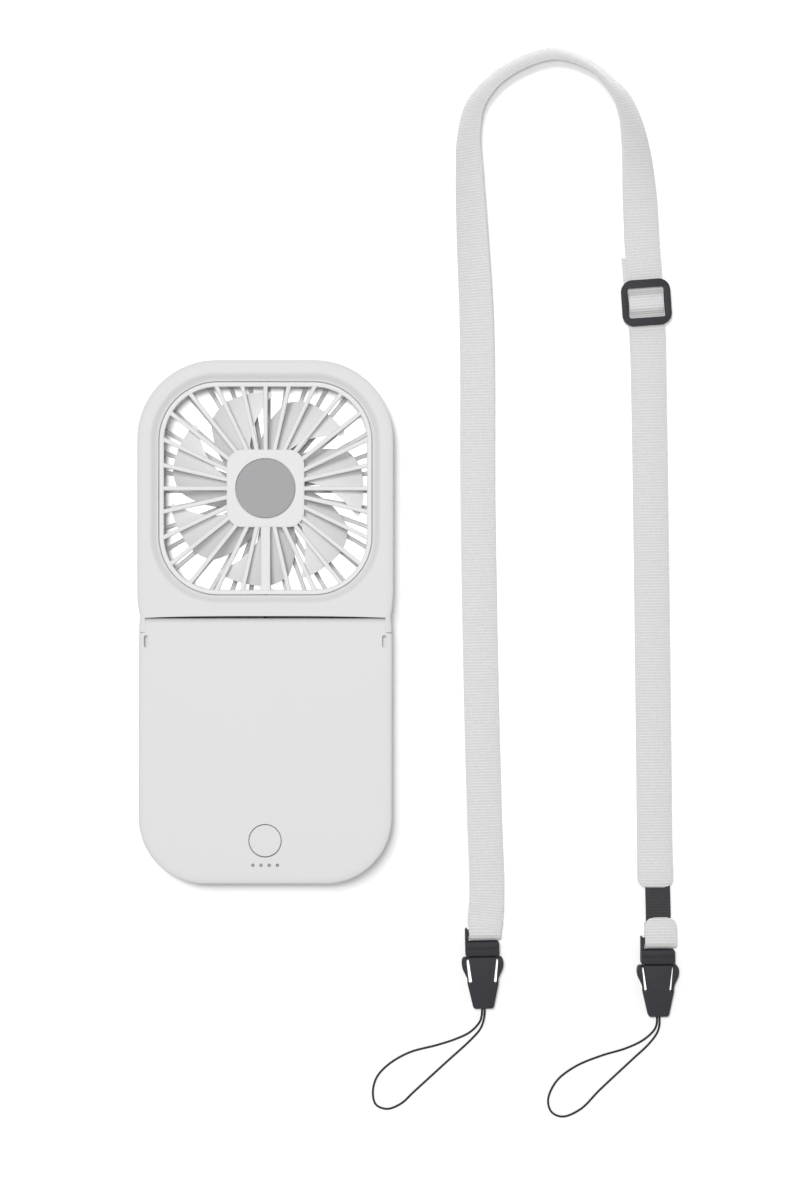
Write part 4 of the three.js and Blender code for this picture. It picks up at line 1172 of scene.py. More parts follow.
    def neck_strap(self) -> Tuple[bpy.types.Object, List[Vector]]:
        """Long strap: left buckle, left leg, the arch on its edge, then through the adjuster to the link.

        Returns:
            The strap and its middle line.
        """
        start = self.left.point(self.fold_shift, self.bar_v + 3, 0)
        top_lift = self.bar_z + self.fold_radius - self.strap_rest - self.strap_thickness / 2
        up = self.layer
        leg_steps, hump_steps, lower_steps, _ = self.strap_steps
        leg = self.laid([
            (start.x, start.y, 0, top_lift), (62.1, -78, 0, 0.4), (61.5, -56.5, 0, 0), (60.6, -22.7, 0, 0),
            (59.6, 34.7, 0, 0), (59.2, 84, 14, 0), (57.9, 110.6, 30, 0), (57.1, 126.9, 42, 0),
            (56.9, 137.5, 52, 0), (58.7, 146.3, 58, 0), (64, 153.2, 63, 0), (71.5, 158.1, 63, 0),
            (80.8, 160.8, 63, 0),
            (88.2, 159.1, 66, 0), (93.3, 156.1, 70, 0), (97, 152.7, 66, 0), (100.2, 148.8, 57, 0),
            (102.6, 142.9, 49, 0.3), (104.2, 134.7, 35, 0.7), (105, 127, 22, 1), (105.6, 118.8, 8, up),
            (106.3, 106.4, 0, up), (106.9, 99.2, 0, up),
        ], leg_steps)
        hump = Route([(v, lift, 0.0) for v, lift in (
            (6, 0), (4.3, 0), (3, 0.6), (1.6, 1.9), (0, 2.2), (-1.6, 1.9), (-3, 0.6), (-4.3, 0), (-6, 0))])
        middle = []
        for spot in hump.samples(hump_steps):
            z = self.strap_rest + up + spot.y + self.strap_thickness / 2
            middle.append(Lay(self.slider.point(0, spot.x, z), -self.slider.across(), self.strap_width))
        sewn = up + self.link_layer
        lower = self.laid([
            (108, 80.7, 0, up), (108.4, 51, 0, up), (108.9, 15.2, 0, up), (109.5, -35.9, 0, up),
            (109.8, -63.5, 0, up), (109.9, -70.7, 0, sewn), (109.9, -75.4, 0, sewn),
        ], lower_steps)
        fold = self.bar_fold(self.left, self.neck_tail, self.bar_z - self.fold_radius)
        samples = [*fold, *leg, *middle, *lower]
        strap = ribbon(samples, self.strap_thickness, self.sewn_round).mesh("neck_strap_webbing")
        dress(strap, WHITE_STRAP, Body.BASE, "neck_strap")
        return strap, [sample.middle for sample in samples]

    def return_strap(self) -> bpy.types.Object:
        """Second layer of the lower leg, sewn back to the adjuster's middle bar.

        Returns:
            The strap.
        """
        route = [(105.4, 103.8), (106.2, 95.1), (107.6, 82.8), (108.5, 51.1), (109.6, -36), (109.95, -71),
                 (110, -75.5)]
        samples = self.laid([(x, y, 0, 0) for x, y in route], self.strap_steps[-1])
        strap = ribbon(samples, self.strap_thickness, self.sewn_round).mesh("return_strap_webbing")
        return dress(strap, WHITE_STRAP, Body.BASE, "return_strap")

    def strap_link(self) -> bpy.types.Object:
        """Dark narrow strip sewn between the long strap and the short end strap.

        Returns:
            The strip.
        """
        route = Route([(110.6, -73.3, 1.9), (110.7, -77.9, 2.05), (110.8, -84, 2.4), (110.8, -86.7, 2.45)])
        samples = [Lay(place, Vector((1, 0, 0)), self.link_width) for place in route.samples(30)]
        link = ribbon(samples, self.link_thickness).mesh("strap_link_strip")
        return dress(link, DARK_STRAP, Body.BASE, "strap_link")

    def end_strap(self) -> bpy.types.Object:
        """Short strap that folds round the right buckle's bar and holds the strip between its ends.

        Returns:
            The strap.
        """
        samples = self.bar_fold(self.right, *self.end_tail)
        crest, steps = self.bar_z + self.fold_radius, 24
        for i in range(1, steps + 1):
            share = i / steps
            z = crest + (self.end_top - crest) * share + self.end_swell * math.sin(math.pi * share)
            place = self.right.point(self.fold_shift, self.bar_v + self.end_reach * share, z)
            samples.append(Lay(place, self.right.across(), self.fold_width))
        strap = ribbon(samples, self.strap_thickness, self.end_round).mesh("end_strap_webbing")
        return dress(strap, WHITE_STRAP, Body.BASE, "end_strap")

    def adjuster(self) -> bpy.types.Object:
        """Three-bar adjuster.

        Returns:
            The adjuster.
        """
        half_x, half_y = self.slider_window[0] / 2, self.slider_window[1] / 2
        low = self.strap_rest + self.layer + self.strap_thickness + self.slider_gap
        high = low + self.slider_height
        outer = rounded_outline(half_x + self.slider_bar, half_y + self.slider_end, self.slider_corner, 8)
        inner = rounded_outline(half_x, half_y, self.window_corner, 4)
        draft = Draft().prism(outer, low, high, [inner])
        adjuster = draft.moved(self.slider.matrix()).mesh("adjuster_frame")
        soften(adjuster, self.slider_round, 3)
        bar_half, bar_height, bar_lift = self.middle_bar
        bar_low = self.strap_rest + self.layer + bar_lift
        reach = half_x + self.slider_bar - 0.1
        across = (-bar_half, bar_half)
        bar = Draft().box((-reach, reach), across, (bar_low, bar_low + bar_height))
        posts = [Draft().box(side.span(half_x, reach), across, (bar_low + 0.05, high - 0.5))
                 for side in (Side.RIGHT, Side.LEFT)]
        carve(adjuster, self.slider.place((bar, *posts)), Carving.JOIN)
        return dress(adjuster, BLACK_PLASTIC, Body.BASE, "adjuster_slider")

    def strap_buckle(self, name: str, at: LeanFrame) -> bpy.types.Object:
        """Upper buckle half: a block with a groove, a fin and bar for the strap, and a tongue.

        Args:
            name: left or right.
            at: the buckle's frame.

        Returns:
            The buckle half.
        """
        half = self.buckle_width / 2
        low, high = self.strap_rest, self.strap_rest + self.buckle_thickness
        block = rounded_outline(half, self.buckle_block / 2, self.block_corner, 4, (0, self.buckle_block / 2))
        buckle = Draft().prism(block, low, high).moved(at.matrix()).mesh(f"{name}_block")
        soften(buckle, self.block_round)
        fin = [(-half, self.buckle_block - 0.5), (-half + 0.95, self.buckle_block - 0.5),
               (-half + 0.9, self.bar_v + 0.6), (-half + 0.4, self.bar_v + 1.4), (-half, self.bar_v + 1)]
        bar = [(self.bar_v + self.buckle_bar * math.cos(t), self.bar_z + self.buckle_bar * math.sin(t))
               for t in (2 * math.pi * i / 20 for i in range(20))]
        joined = [
            Draft().prism(fin, *self.fin_z),
            Draft().bar((-half + 0.2, half + 0.6), bar),
            Draft().box(*self.tongue),
        ]
        groove = Draft().box((-FAR, FAR), self.groove, (high - self.groove_depth, FAR))
        carve(buckle, at.place(joined), Carving.JOIN)
        carve(buckle, at.place([groove]))
        return dress(buckle, BLACK_PLASTIC, Body.BASE, f"{name}_strap_buckle")

    def clip(self, name: str, at: LeanFrame, body: Body) -> bpy.types.Object:
        """Lower buckle half: tapered body with two sprung side arms and a pocket for the tongue.

        Args:
            name: left or right.
            at: the buckle's frame.
            body: the clip's body.

        Returns:
            The clip.
        """
        low = self.strap_rest + self.clip_lift
        tip = self.clip_tip / 2
        arm = Route([(4.7, -0.45, 0), (5.35, -0.55, 0), (5.75, -1.1, 0), (5.9, -2.2, 0), (5.65, -3.7, 0),
                     (4.95, -5.2, 0), (4.5, -6.4, 0), (4.35, -8, 0)]).samples(28)
        edge = [(3.9, -0.3), (4.1, -0.55), *((spot.x, spot.y) for spot in arm),
                (tip + 0.35, -self.clip_length + 0.5), (tip - 0.15, -self.clip_length)]
        outline = [*reversed(edge), *((-x, y) for x, y in edge)]
        draft = Draft().loft(pillow(outline, low, low + self.clip_thickness, self.clip_round))
        clip = draft.moved(at.matrix()).mesh(f"{name}_clip_shell")
        slit = [(3.95, -0.9), (3.05, -7.75), (3.9, -7.95), (4.6, -0.85)]
        mirrored = [(-x, y) for x, y in reversed(slit)]
        cuts = [Draft().prism(corners, -1, 9) for corners in (slit, mirrored)]
        cuts.append(Draft().box(*self.pocket))
        carve(clip, at.place(cuts))
        return dress(clip, BLACK_PLASTIC, body, f"{name}_clip")

    def loop_cord(self, name: str, at: LeanFrame, stops: Sequence[Flat], body: Body) -> bpy.types.Object:
        """Thin cord loop that leaves the clip's tip, drops to the table and comes back.

        Args:
            name: left or right.
            at: the buckle's frame.
            stops: places of the loop on the table.
            body: the clip's body.

        Returns:
            The cord as a curve.
        """
        exit_z = self.strap_rest + self.clip_lift + self.clip_thickness / 2
        rest_z = self.cord_radius + self.cord_rest
        fall_z = (exit_z + rest_z) / 2 + self.cord_fall
        tip = -self.clip_length - self.cord_start
        ends = (at.point(-self.cord_spread, tip, exit_z), at.point(self.cord_spread, tip, exit_z))
        last = len(stops) - 1
        laid = [(x, y, fall_z if i in (0, last) else rest_z) for i, (x, y) in enumerate(stops)]
        route = Route([ends[0], *laid, ends[1]])
        data = bpy.data.curves.new(f"{name}_loop", "CURVE")
        data.dimensions = "3D"
        data.bevel_depth = self.cord_radius * MM
        data.bevel_resolution = 4
        data.use_fill_caps = True
        spline = data.splines.new("POLY")
        places = route.samples(self.cord_steps)
        spline.points.add(len(places) - 1)
        for knot, place in zip(spline.points, places):
            knot.co = (*(place * MM), 1.0)
        cord = bpy.data.objects.new(f"{name}_loop", data)
        bpy.context.scene.collection.objects.link(cord)
        dress(cord, BLACK_CORD, body, f"{name}_loop_cord")
        return cord

    def build(self) -> None:
        """Make every piece of the lanyard."""
        strap, path = self.neck_strap()
        pieces = [self.return_strap(), self.strap_link(), self.end_strap(), self.adjuster(),
                  self.strap_buckle("left", self.left), self.strap_buckle("right", self.right)]
        ends = (("left", self.left, Body.LEFT_CLIP), ("right", self.right, Body.RIGHT_CLIP))
        for name, at, body in ends:
            self.clip(name, at, body)
        for (name, at, body), stops in zip(ends, (self.left_loop, self.right_loop)):
            self.loop_cord(name, at, stops, body)


@dataclass(frozen=True)
class CaseHalf:
    """Outline of one half of the fan: square at the hinge, two round corners at the far end."""

    half_width: float
    corner: float
    sign: int
    waist_depth: float
    waist_run: float
    end_gap: float = 0.25
    middle_gap: float = 0.25
    hinge_line: float = 1.25
    half_length: float = 72.8
    border: float = 0.5
    waist_steps: int = 8
    bow_steps: int = 24

    def ring(self, inset: float, z: float, setback: float = 0.0) -> Ring:
        """Counter-clockwise outline at a height.

        Args:
            inset: distance inside the widest outline, apart from the hinge end.
            z: height.
            setback: distance inside the hinge end.

        Returns:
            The outline's corners.
        """
        width, radius, far = self.half_width - inset, self.corner - inset, self.half_length - inset
        right = []
        for i in range(self.waist_steps + 1):
            stop = self.end_gap + (self.waist_run - self.end_gap) * i / self.waist_steps
            closeness = 1 - stop / self.waist_run
            y = self.hinge_line * self.sign + stop + setback * closeness
            right.append((width - self.waist_depth * closeness ** 2, y))
        for i in range(ARC + 1):
            angle = i / ARC * math.pi / 2
            right.append((width - radius + radius * math.cos(angle), far - radius + radius * math.sin(angle)))
        end_x, end_y = right[0]
        bow = self.middle_gap - self.end_gap
        shares = [2 * i / self.bow_steps - 1 for i in range(1, self.bow_steps)]
        hinge_end = [(end_x * s, end_y + bow * (1 - abs(s) ** 3)) for s in shares]
        outline = [*right, *((-x, y) for x, y in reversed(right)), *hinge_end]
        ring = [(x, y * self.sign, z) for x, y in outline]
        return ring if self.sign > 0 else ring[::-1]

    def wall(self, low: float, high: float, low_round: float, high_round: Flat) -> List[Ring]:
        """Stack of outlines between two heights with rounded edges and a flat border inside each.

        Args:
            low: lowest height.
            high: highest height.
            low_round: radius of the lower edge, or 0.
            high_round: width and drop of the upper edge, or zeros.

        Returns:
            Outlines from the bottom to the top.
        """
        width, drop = high_round
        rings = []
        if low_round:
            rings.append(self.ring(low_round + self.border, low, self.border))
            for i in range(EDGE_ARC, 0, -1):
                angle = i / EDGE_ARC * math.pi / 2
                height = low + low_round * (1 - math.sin(angle))
                rings.append(self.ring(low_round * (1 - math.cos(angle)), height))
        rings.append(self.ring(0, low + low_round))
        rings.append(self.ring(0, high - drop))
        if width:
            for i in range(1, EDGE_ARC + 1):
                angle = i / EDGE_ARC * math.pi / 2
                rings.append(self.ring(width * (1 - math.cos(angle)), high - drop * (1 - math.sin(angle))))
            rings.append(self.ring(width + self.border, high, self.border))
        return rings


@dataclass
class Screws:
    """Cross-recessed screws that hold a rear cover, heads down in their counterbores."""

    head_radius: float = 1.3
    head_height: float = 1.3
    radius: float = 0.8
    length: float = 8.0
    recess: float = 1.2
    clearance: float = 0.15
    head_room: float = 0.3
    head_edge: float = 0.25
    cross: Flat = (0.8, 0.2)
    cross_depth: float = 0.7
    sides: int = 32
    hole_sides: int = 40

    def holes(self, spots: Sequence[Flat]) -> List[Draft]:
        """Counterbores and shank holes.

        Args:
            spots: places of the screws.

        Returns:
            One solid for each screw.
        """
        top = self.recess + self.head_height
        wide, narrow = self.head_radius + self.clearance, self.radius + self.clearance
        step = top + self.head_room
        profile = [(wide, -1), (wide, step), (narrow, step), (narrow, top + self.length + 1)]
        return [Draft().lathe(profile, spot, self.hole_sides) for spot in spots]

    def build(self, spots: Sequence[Flat], half: str, body: Body) -> None:
        """Make one screw at each place.

        Args:
            spots: places of the screws.
            half: base or head.
            body: the body that carries them.
        """
        top = self.recess + self.head_height
        edge = self.head_edge
        profile = [(self.head_radius - edge, self.recess), (self.head_radius, self.recess + edge),
                   (self.head_radius, top), (self.radius, top), (self.radius, top + self.length)]
        depth = (self.recess - 1, self.recess + self.cross_depth)
        for i, (x, y) in enumerate(spots):
            screw = Draft().lathe(profile, (x, y), self.sides).mesh(f"{half}_screw_head_{i + 1}")
            arms = (self.cross, self.cross[::-1])
            carve(screw, [Draft().box((x - a, x + a), (y - b, y + b), depth) for a, b in arms])
            dress(screw, STEEL, body, f"{half}_screw_{i + 1}")


@dataclass
class Hinge:
    """Hinge between the two halves: a bead along the base, two ears, pins, washers and a lead."""

    line: float = 1.25
    gap: float = 0.5
    bead: float = 1.9
    thickness: float = 20.0
    ear_inner: float = 33.4
    ear_outer: float = 34.8
    ear_back: float = 2.06
    ear_corner: float = 0.08
    ear_flare: float = 0.36
    ear_sink: float = 0.02
    ear_steps: int = 8
    crown: Flat = (2.2, 0.7)
    seat_radius: float = 2.83
    seat_gap: float = 0.02
    clearance: float = 0.3
    sides: int = 40
    pin_hole: float = 0.95
    pin_span: Flat = (29.2, 34.5)
    washer_seat: Flat = (32.3, 1.5)
    lead_radius: float = 0.5
    lead_hole: float = 0.9
    lead_z: float = 15.4
    base_bore: Flat = (-8.6, 1.6)
    head_bore: Flat = (0.4, 9.4)
    lead_ends: Flat = (0.62, 1.88)
    lead_bend: Flat = (0.8, 1.7)

    @property
    def axis(self) -> Flat:
        """Place of the turning axis in Y and Z."""
        return (self.line - self.gap / 2 - self.bead, self.thickness - self.bead)

    def disc(self, radius: float) -> List[Flat]:
        """Circle about the axis.

        Args:
            radius: of the circle.

        Returns:
            Corners in Y and Z, counter-clockwise seen from +X.
        """
        y, z = self.axis
        turns = [2 * math.pi * i / self.sides for i in range(self.sides)]
        return [(y + radius * math.cos(t), z + radius * math.sin(t)) for t in turns]

    def base_cuts(self) -> List[Draft]:
        """Solids that round the base's edge to the bead and make room for ears, washers, pins and lead.

        Returns:
            The solids to cut away.
        """
        y, z = self.axis
        beyond, room = 3.0, 9.0
        edge = [(y, self.thickness + beyond), (y, self.thickness)]
        steps = 12
        for i in range(1, steps):
            angle = math.pi / 2 * (1 - i / steps)
            edge.append((y + self.bead * math.cos(angle), z + self.bead * math.sin(angle)))
        outside = y + self.bead + beyond
        edge.extend([(y + self.bead, z), (outside, z), (outside, self.thickness + beyond)])
        cuts = [Draft().bar((-FAR, FAR), edge)]
        seat = self.ear_inner - self.seat_gap
        for side in Side:
            span = side.span(seat, FAR)
            cuts.append(Draft().bar(span, self.disc(self.seat_radius)))
            cuts.append(Draft().box(span, (y, y + room), (z - self.bead - self.clearance, z + room)))
            washer, radius = self.washer_seat
            cuts.append(Draft().bar(side.span(washer, FAR), self.disc(radius)))
        return [*cuts, *self.pin_holes(), self.lead_rod(self.lead_hole, *self.base_bore)]

    def pin_holes(self) -> List[Draft]:
        """Holes for the two pins, in the base's bead and the head's ears."""
        return [Draft().bar(side.span(*self.pin_span), self.disc(self.pin_hole)) for side in Side]

    def lead_rod(self, radius: float, first: float, last: float, steps: int = 1) -> Draft:
        """Round rod along Y at the lead's height.

        Args:
            radius: of the rod.
            first: its lower end in Y.
            last: its upper end in Y.
            steps: stretches between them.

        Returns:
            The rod.
        """
        profile = [(radius, (last - first) * i / steps - last) for i in range(steps + 1)]
        turn = Matrix.Rotation(math.radians(90), 4, "X")
        return Draft().lathe(profile, (0, 0), 20).moved(Matrix.Translation((0, 0, self.lead_z)) @ turn)

    def lead(self) -> None:
        """Lead across the hinge, on no body."""
        lead = self.lead_rod(self.lead_radius, *self.lead_ends, steps=36).mesh("lead_across_hinge")
        dress(lead, BLACK_CORD, None, "hinge_lead")
        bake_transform(lead)

    def ear_outline(self, top: float) -> List[Flat]:
        """Section of an ear in Y and Z, counter-clockwise seen from +X.

        Args:
            top: height of its upper side.

        Returns:
            The section's corners.
        """
        y, z = self.axis
        front, back = self.line + self.gap / 2 + 1, y - self.ear_back
        outline = [(front, z - self.bead), (front, top)]
        corner = self.ear_corner
        for i in range(7):
            angle = math.pi / 2 * (1 + i / 6)
            height = top - corner + corner * math.sin(angle)
            outline.append((back + corner + corner * math.cos(angle), height))
        for i in range(17):
            angle = math.pi / 2 * (2 + i / 16)
            outline.append((y + self.bead * math.cos(angle), z + self.bead * math.sin(angle)))
        return outline

    def ears(self) -> List[Draft]:
        """The head's two ears, under the same crown as its face and flush with the base's sides.

        Returns:
            One solid for each ear.
        """
        ears = []
        for side in Side:
            rings = []
            for i in range(self.ear_steps + 1):
                out = i / self.ear_steps
                share = 1 - (1 - out) * (self.ear_outer - self.ear_inner) / self.crown[0]
                drop = self.crown[1] * (1 - math.sqrt(max(1 - share * share, 0.0)))
                top = self.thickness - self.ear_sink - drop
                ring = []
                for y, z in self.ear_outline(top):
                    outer = self.ear_outer + self.ear_flare * min(max((self.line - y) / 2, 0.0), 1.0)
                    ring.append((side.value * (self.ear_inner + (outer - self.ear_inner) * out), y, z))
                rings.append(ring)
            ears.append(Draft().loft(rings[::side.value]))
        return ears

    def build(self) -> None:
        """Dress the pins, the washers and the leads, and make the lead across the hinge."""
        for side in Side:
            dress_node(f"hinge_pin_{side.name.lower()}", STEEL)
            dress_node(f"hinge_washer_{side.name.lower()}", STEEL)
        for name in ("base_lead", "head_lead"):
            dress_node(name, BLACK_CORD)
        self.lead()


@dataclass
class BaseUnit:
    """Base of the fan: shells, power button, light dots, charging socket and what is inside."""

    case: CaseHalf = CaseHalf(35.2, 18.5, -1, 0.3, 3.0)
    hinge: Hinge = field(default_factory=Hinge)
    screws: Screws = field(default_factory=Screws)
    thickness: float = 20.0
    parting: float = 8.0
    gap: float = 0.3
    wall: float = 1.8
    front_round: Flat = (2.2, 0.7)
    rear_round: float = 1.6
    button_y: float = -60.8
    button_radius: float = 4.4
    button_flange: float = 5.4
    button_gap: float = 0.25
    button_edge: float = 0.25
    button_sink: float = 0.05
    button_border: float = 0.7
    button_stem: Flat = (1.5, 15.22)
    light_y: float = -67.6
    light_pitch: float = 2.27
    light_hole: float = 0.45
    light_peg: float = 0.28
    light_sides: int = 20
    guide_half: Flat = (5.0, 0.8)
    slot_x: float = 33.1
    slot_y: float = -5.4
    slot_size: Flat = (1.2, 3.35)
    slot_depth: float = 3.6
    slot_reach: float = 40.0
    slot_play: float = 0.2
    socket_half: Flat = (4.5, 1.6)
    socket_z: float = 10.6
    socket_length: float = 7.4
    socket_wall: float = 0.35
    socket_sink: float = 0.6
    socket_tongue: Tuple[float, float, float] = (3.3, 0.35, 1.8)
    screw_spots: Tuple[Flat, ...] = ((-27.5, -9.5), (27.5, -9.5), (-21.5, -62.5), (21.5, -62.5))
    room_half: Flat = (33.4, 29.0)
    room_middle: Flat = (0.0, -42.0)
    cell_room: Tuple[Flat, Flat] = ((-24.8, 24.8), (-20.0, -7.4))
    post: float = 2.4

    def rooms(self, low: float, high: float) -> List[Draft]:
        """Hollow inside the shells, with a post left round each far screw.

        Args:
            low: its lowest height.
            high: its highest height.

        Returns:
            The solids to cut away.
        """
        outline = rounded_outline(*self.room_half, self.case.corner - self.wall, ARC, self.room_middle)
        far_spots = self.screw_spots[2:]
        posts = [rounded_outline(self.post, self.post, self.post - 0.01, 6, spot) for spot in far_spots]
        cell_room = Draft().box(*self.cell_room, (low + 0.1, high - 0.1))
        return [Draft().prism(outline, low, high, posts), cell_room]

    def lights(self) -> List[float]:
        """Places of the light dots along X."""
        return [(i - 1.5) * self.light_pitch for i in range(4)]

    def slots(self) -> List[Draft]:
        """Lanyard slots, from the front face down and out through each side.

        Returns:
            The solids to cut away.
        """
        floor = self.thickness - self.slot_depth
        half_x, half_y = self.slot_size[0] / 2, self.slot_size[1] / 2
        along = (self.slot_y - half_y + self.slot_play, self.slot_y + half_y - self.slot_play)
        cuts = []
        for side in Side:
            middle = (side.value * self.slot_x, self.slot_y)
            mouth = rounded_outline(half_x, half_y, half_x - 0.05, 6, middle)
            cuts.append(Draft().prism(mouth, floor, self.thickness + 1))
            outwards = side.span(self.slot_x, self.slot_reach)
            cuts.append(Draft().box(outwards, along, (floor + 0.1, floor + 1.5)))
        return cuts

    def front_shell(self) -> None:
        """Front shell with the hinge bead, button hole, light holes, slots and socket mouth."""
        rings = self.case.wall(self.parting + self.gap / 2, self.thickness, 0, self.front_round)
        shell = Draft().loft(rings).mesh("base_front")
        low, high = self.thickness - 4, self.thickness + 2
        button = self.button_radius + self.button_gap
        cuts = self.rooms(self.parting - 1, self.thickness - self.wall)
        cuts.extend([*self.hinge.base_cuts(), *self.slots(), *self.screws.holes(self.screw_spots)])
        cuts.append(Draft().rod(button, low, high, (0, self.button_y)))
        cuts.extend(Draft().rod(self.light_hole, low, high, (x, self.light_y), self.light_sides)
                    for x in self.lights())
        half_x, half_y = self.socket_half
        mouth = rounded_outline(half_x + self.gap, half_y + self.gap, half_y, 8)
        cuts.append(self.endways(Draft().prism(mouth, -1, 9)))
        carve(shell, cuts)
        dress(shell, WHITE_SHELL, Body.BASE, "base_front_shell")

    def endways(self, draft: Draft) -> Draft:
        """Turn a draft that grows along +Z so that it grows inwards from the base's end wall."""
        turn = Matrix.Rotation(math.radians(-90), 4, "X")
        return draft.moved(Matrix.Translation((0, -self.case.half_length, self.socket_z)) @ turn)

    def rear_shell(self) -> None:
        """Rear shell with its screw holes."""
        rings = self.case.wall(0, self.parting - self.gap / 2, self.rear_round, (0, 0))
        shell = Draft().loft(rings).mesh("base_rear")
        carve(shell, [*self.rooms(self.wall, self.parting + 1), *self.screws.holes(self.screw_spots)])
        dress(shell, WHITE_SHELL, Body.BASE, "base_rear_shell")

    def button(self) -> None:
        """Round push button, flush with the face."""
        top = self.thickness - self.button_sink
        flange = self.thickness - self.wall - self.gap
        stem, stem_low = self.button_stem
        profile = [(stem, stem_low), (stem, flange - 1), (self.button_flange, flange - 1),
                   (self.button_flange, flange), (self.button_radius, flange),
                   (self.button_radius, top - self.button_edge)]
        profile.extend(rim_round(self.button_radius, top, self.button_edge))
        profile.append((self.button_radius - self.button_border, top))
        button = Draft().lathe(profile, (0, self.button_y)).mesh("power_button_cap")
        dress(button, WHITE_SHELL, Body.BUTTON, "power_button")

    def socket(self) -> None:
        """Metal charging socket with a tongue inside."""
        half_x, half_y = self.socket_half
        length, wall = self.socket_length, self.socket_wall
        outer = rounded_outline(half_x, half_y, half_y - 0.05, 8)
        inner = rounded_outline(half_x - wall, half_y - wall, half_y - wall - 0.05, 8)
        draft = Draft().loft([at_height(outer, 0), at_height(outer, length)], caps=False)
        draft.loft([at_height(inner, length - 1), at_height(inner, 0)], caps=False)
        draft.plate(at_height(outer, 0), [at_height(inner, 0)], up=False)
        draft.plate(at_height(outer, length), [], up=True)
        draft.plate(at_height(inner, length - 1), [], up=False)
        sunk = draft.moved(Matrix.Translation((0, 0, self.socket_sink)))
        socket = self.endways(sunk).mesh("charging_socket_shell")
        tongue_x, tongue_y, first = self.socket_tongue
        tongue = Draft().box((-tongue_x, tongue_x), (-tongue_y, tongue_y), (first, length + 0.1))
        carve(socket, [self.endways(tongue)], Carving.JOIN)
        dress(socket, STEEL, Body.BASE, "charging_socket")

    def light_guide(self) -> None:
        """Light guide whose pegs show as four dots."""
        top = self.thickness - self.wall - self.gap
        half_x, half_y = self.guide_half
        across = (self.light_y - half_y, self.light_y + half_y)
        guide = Draft().box((-half_x, half_x), across, (top - 2, top)).mesh("light_pegs")
        peg_top = self.thickness - 0.1
        pegs = [Draft().rod(self.light_peg, top - 1, peg_top, (x, self.light_y), self.light_sides)
                for x in self.lights()]
        carve(guide, pegs, Carving.JOIN)
        dress(guide, CLEAR_GUIDE, Body.BASE, "led_light_guide")

    def build(self) -> None:
        """Make every piece of the base."""
        self.front_shell()
        self.rear_shell()
        self.button()
        self.socket()
        self.light_guide()
        self.screws.build(self.screw_spots, "base", Body.BASE)
        dress_node("battery_cell", FOIL)
        dress_node("circuit_board", BOARD)
        dress_node("tact_switch", BLACK_PLASTIC)


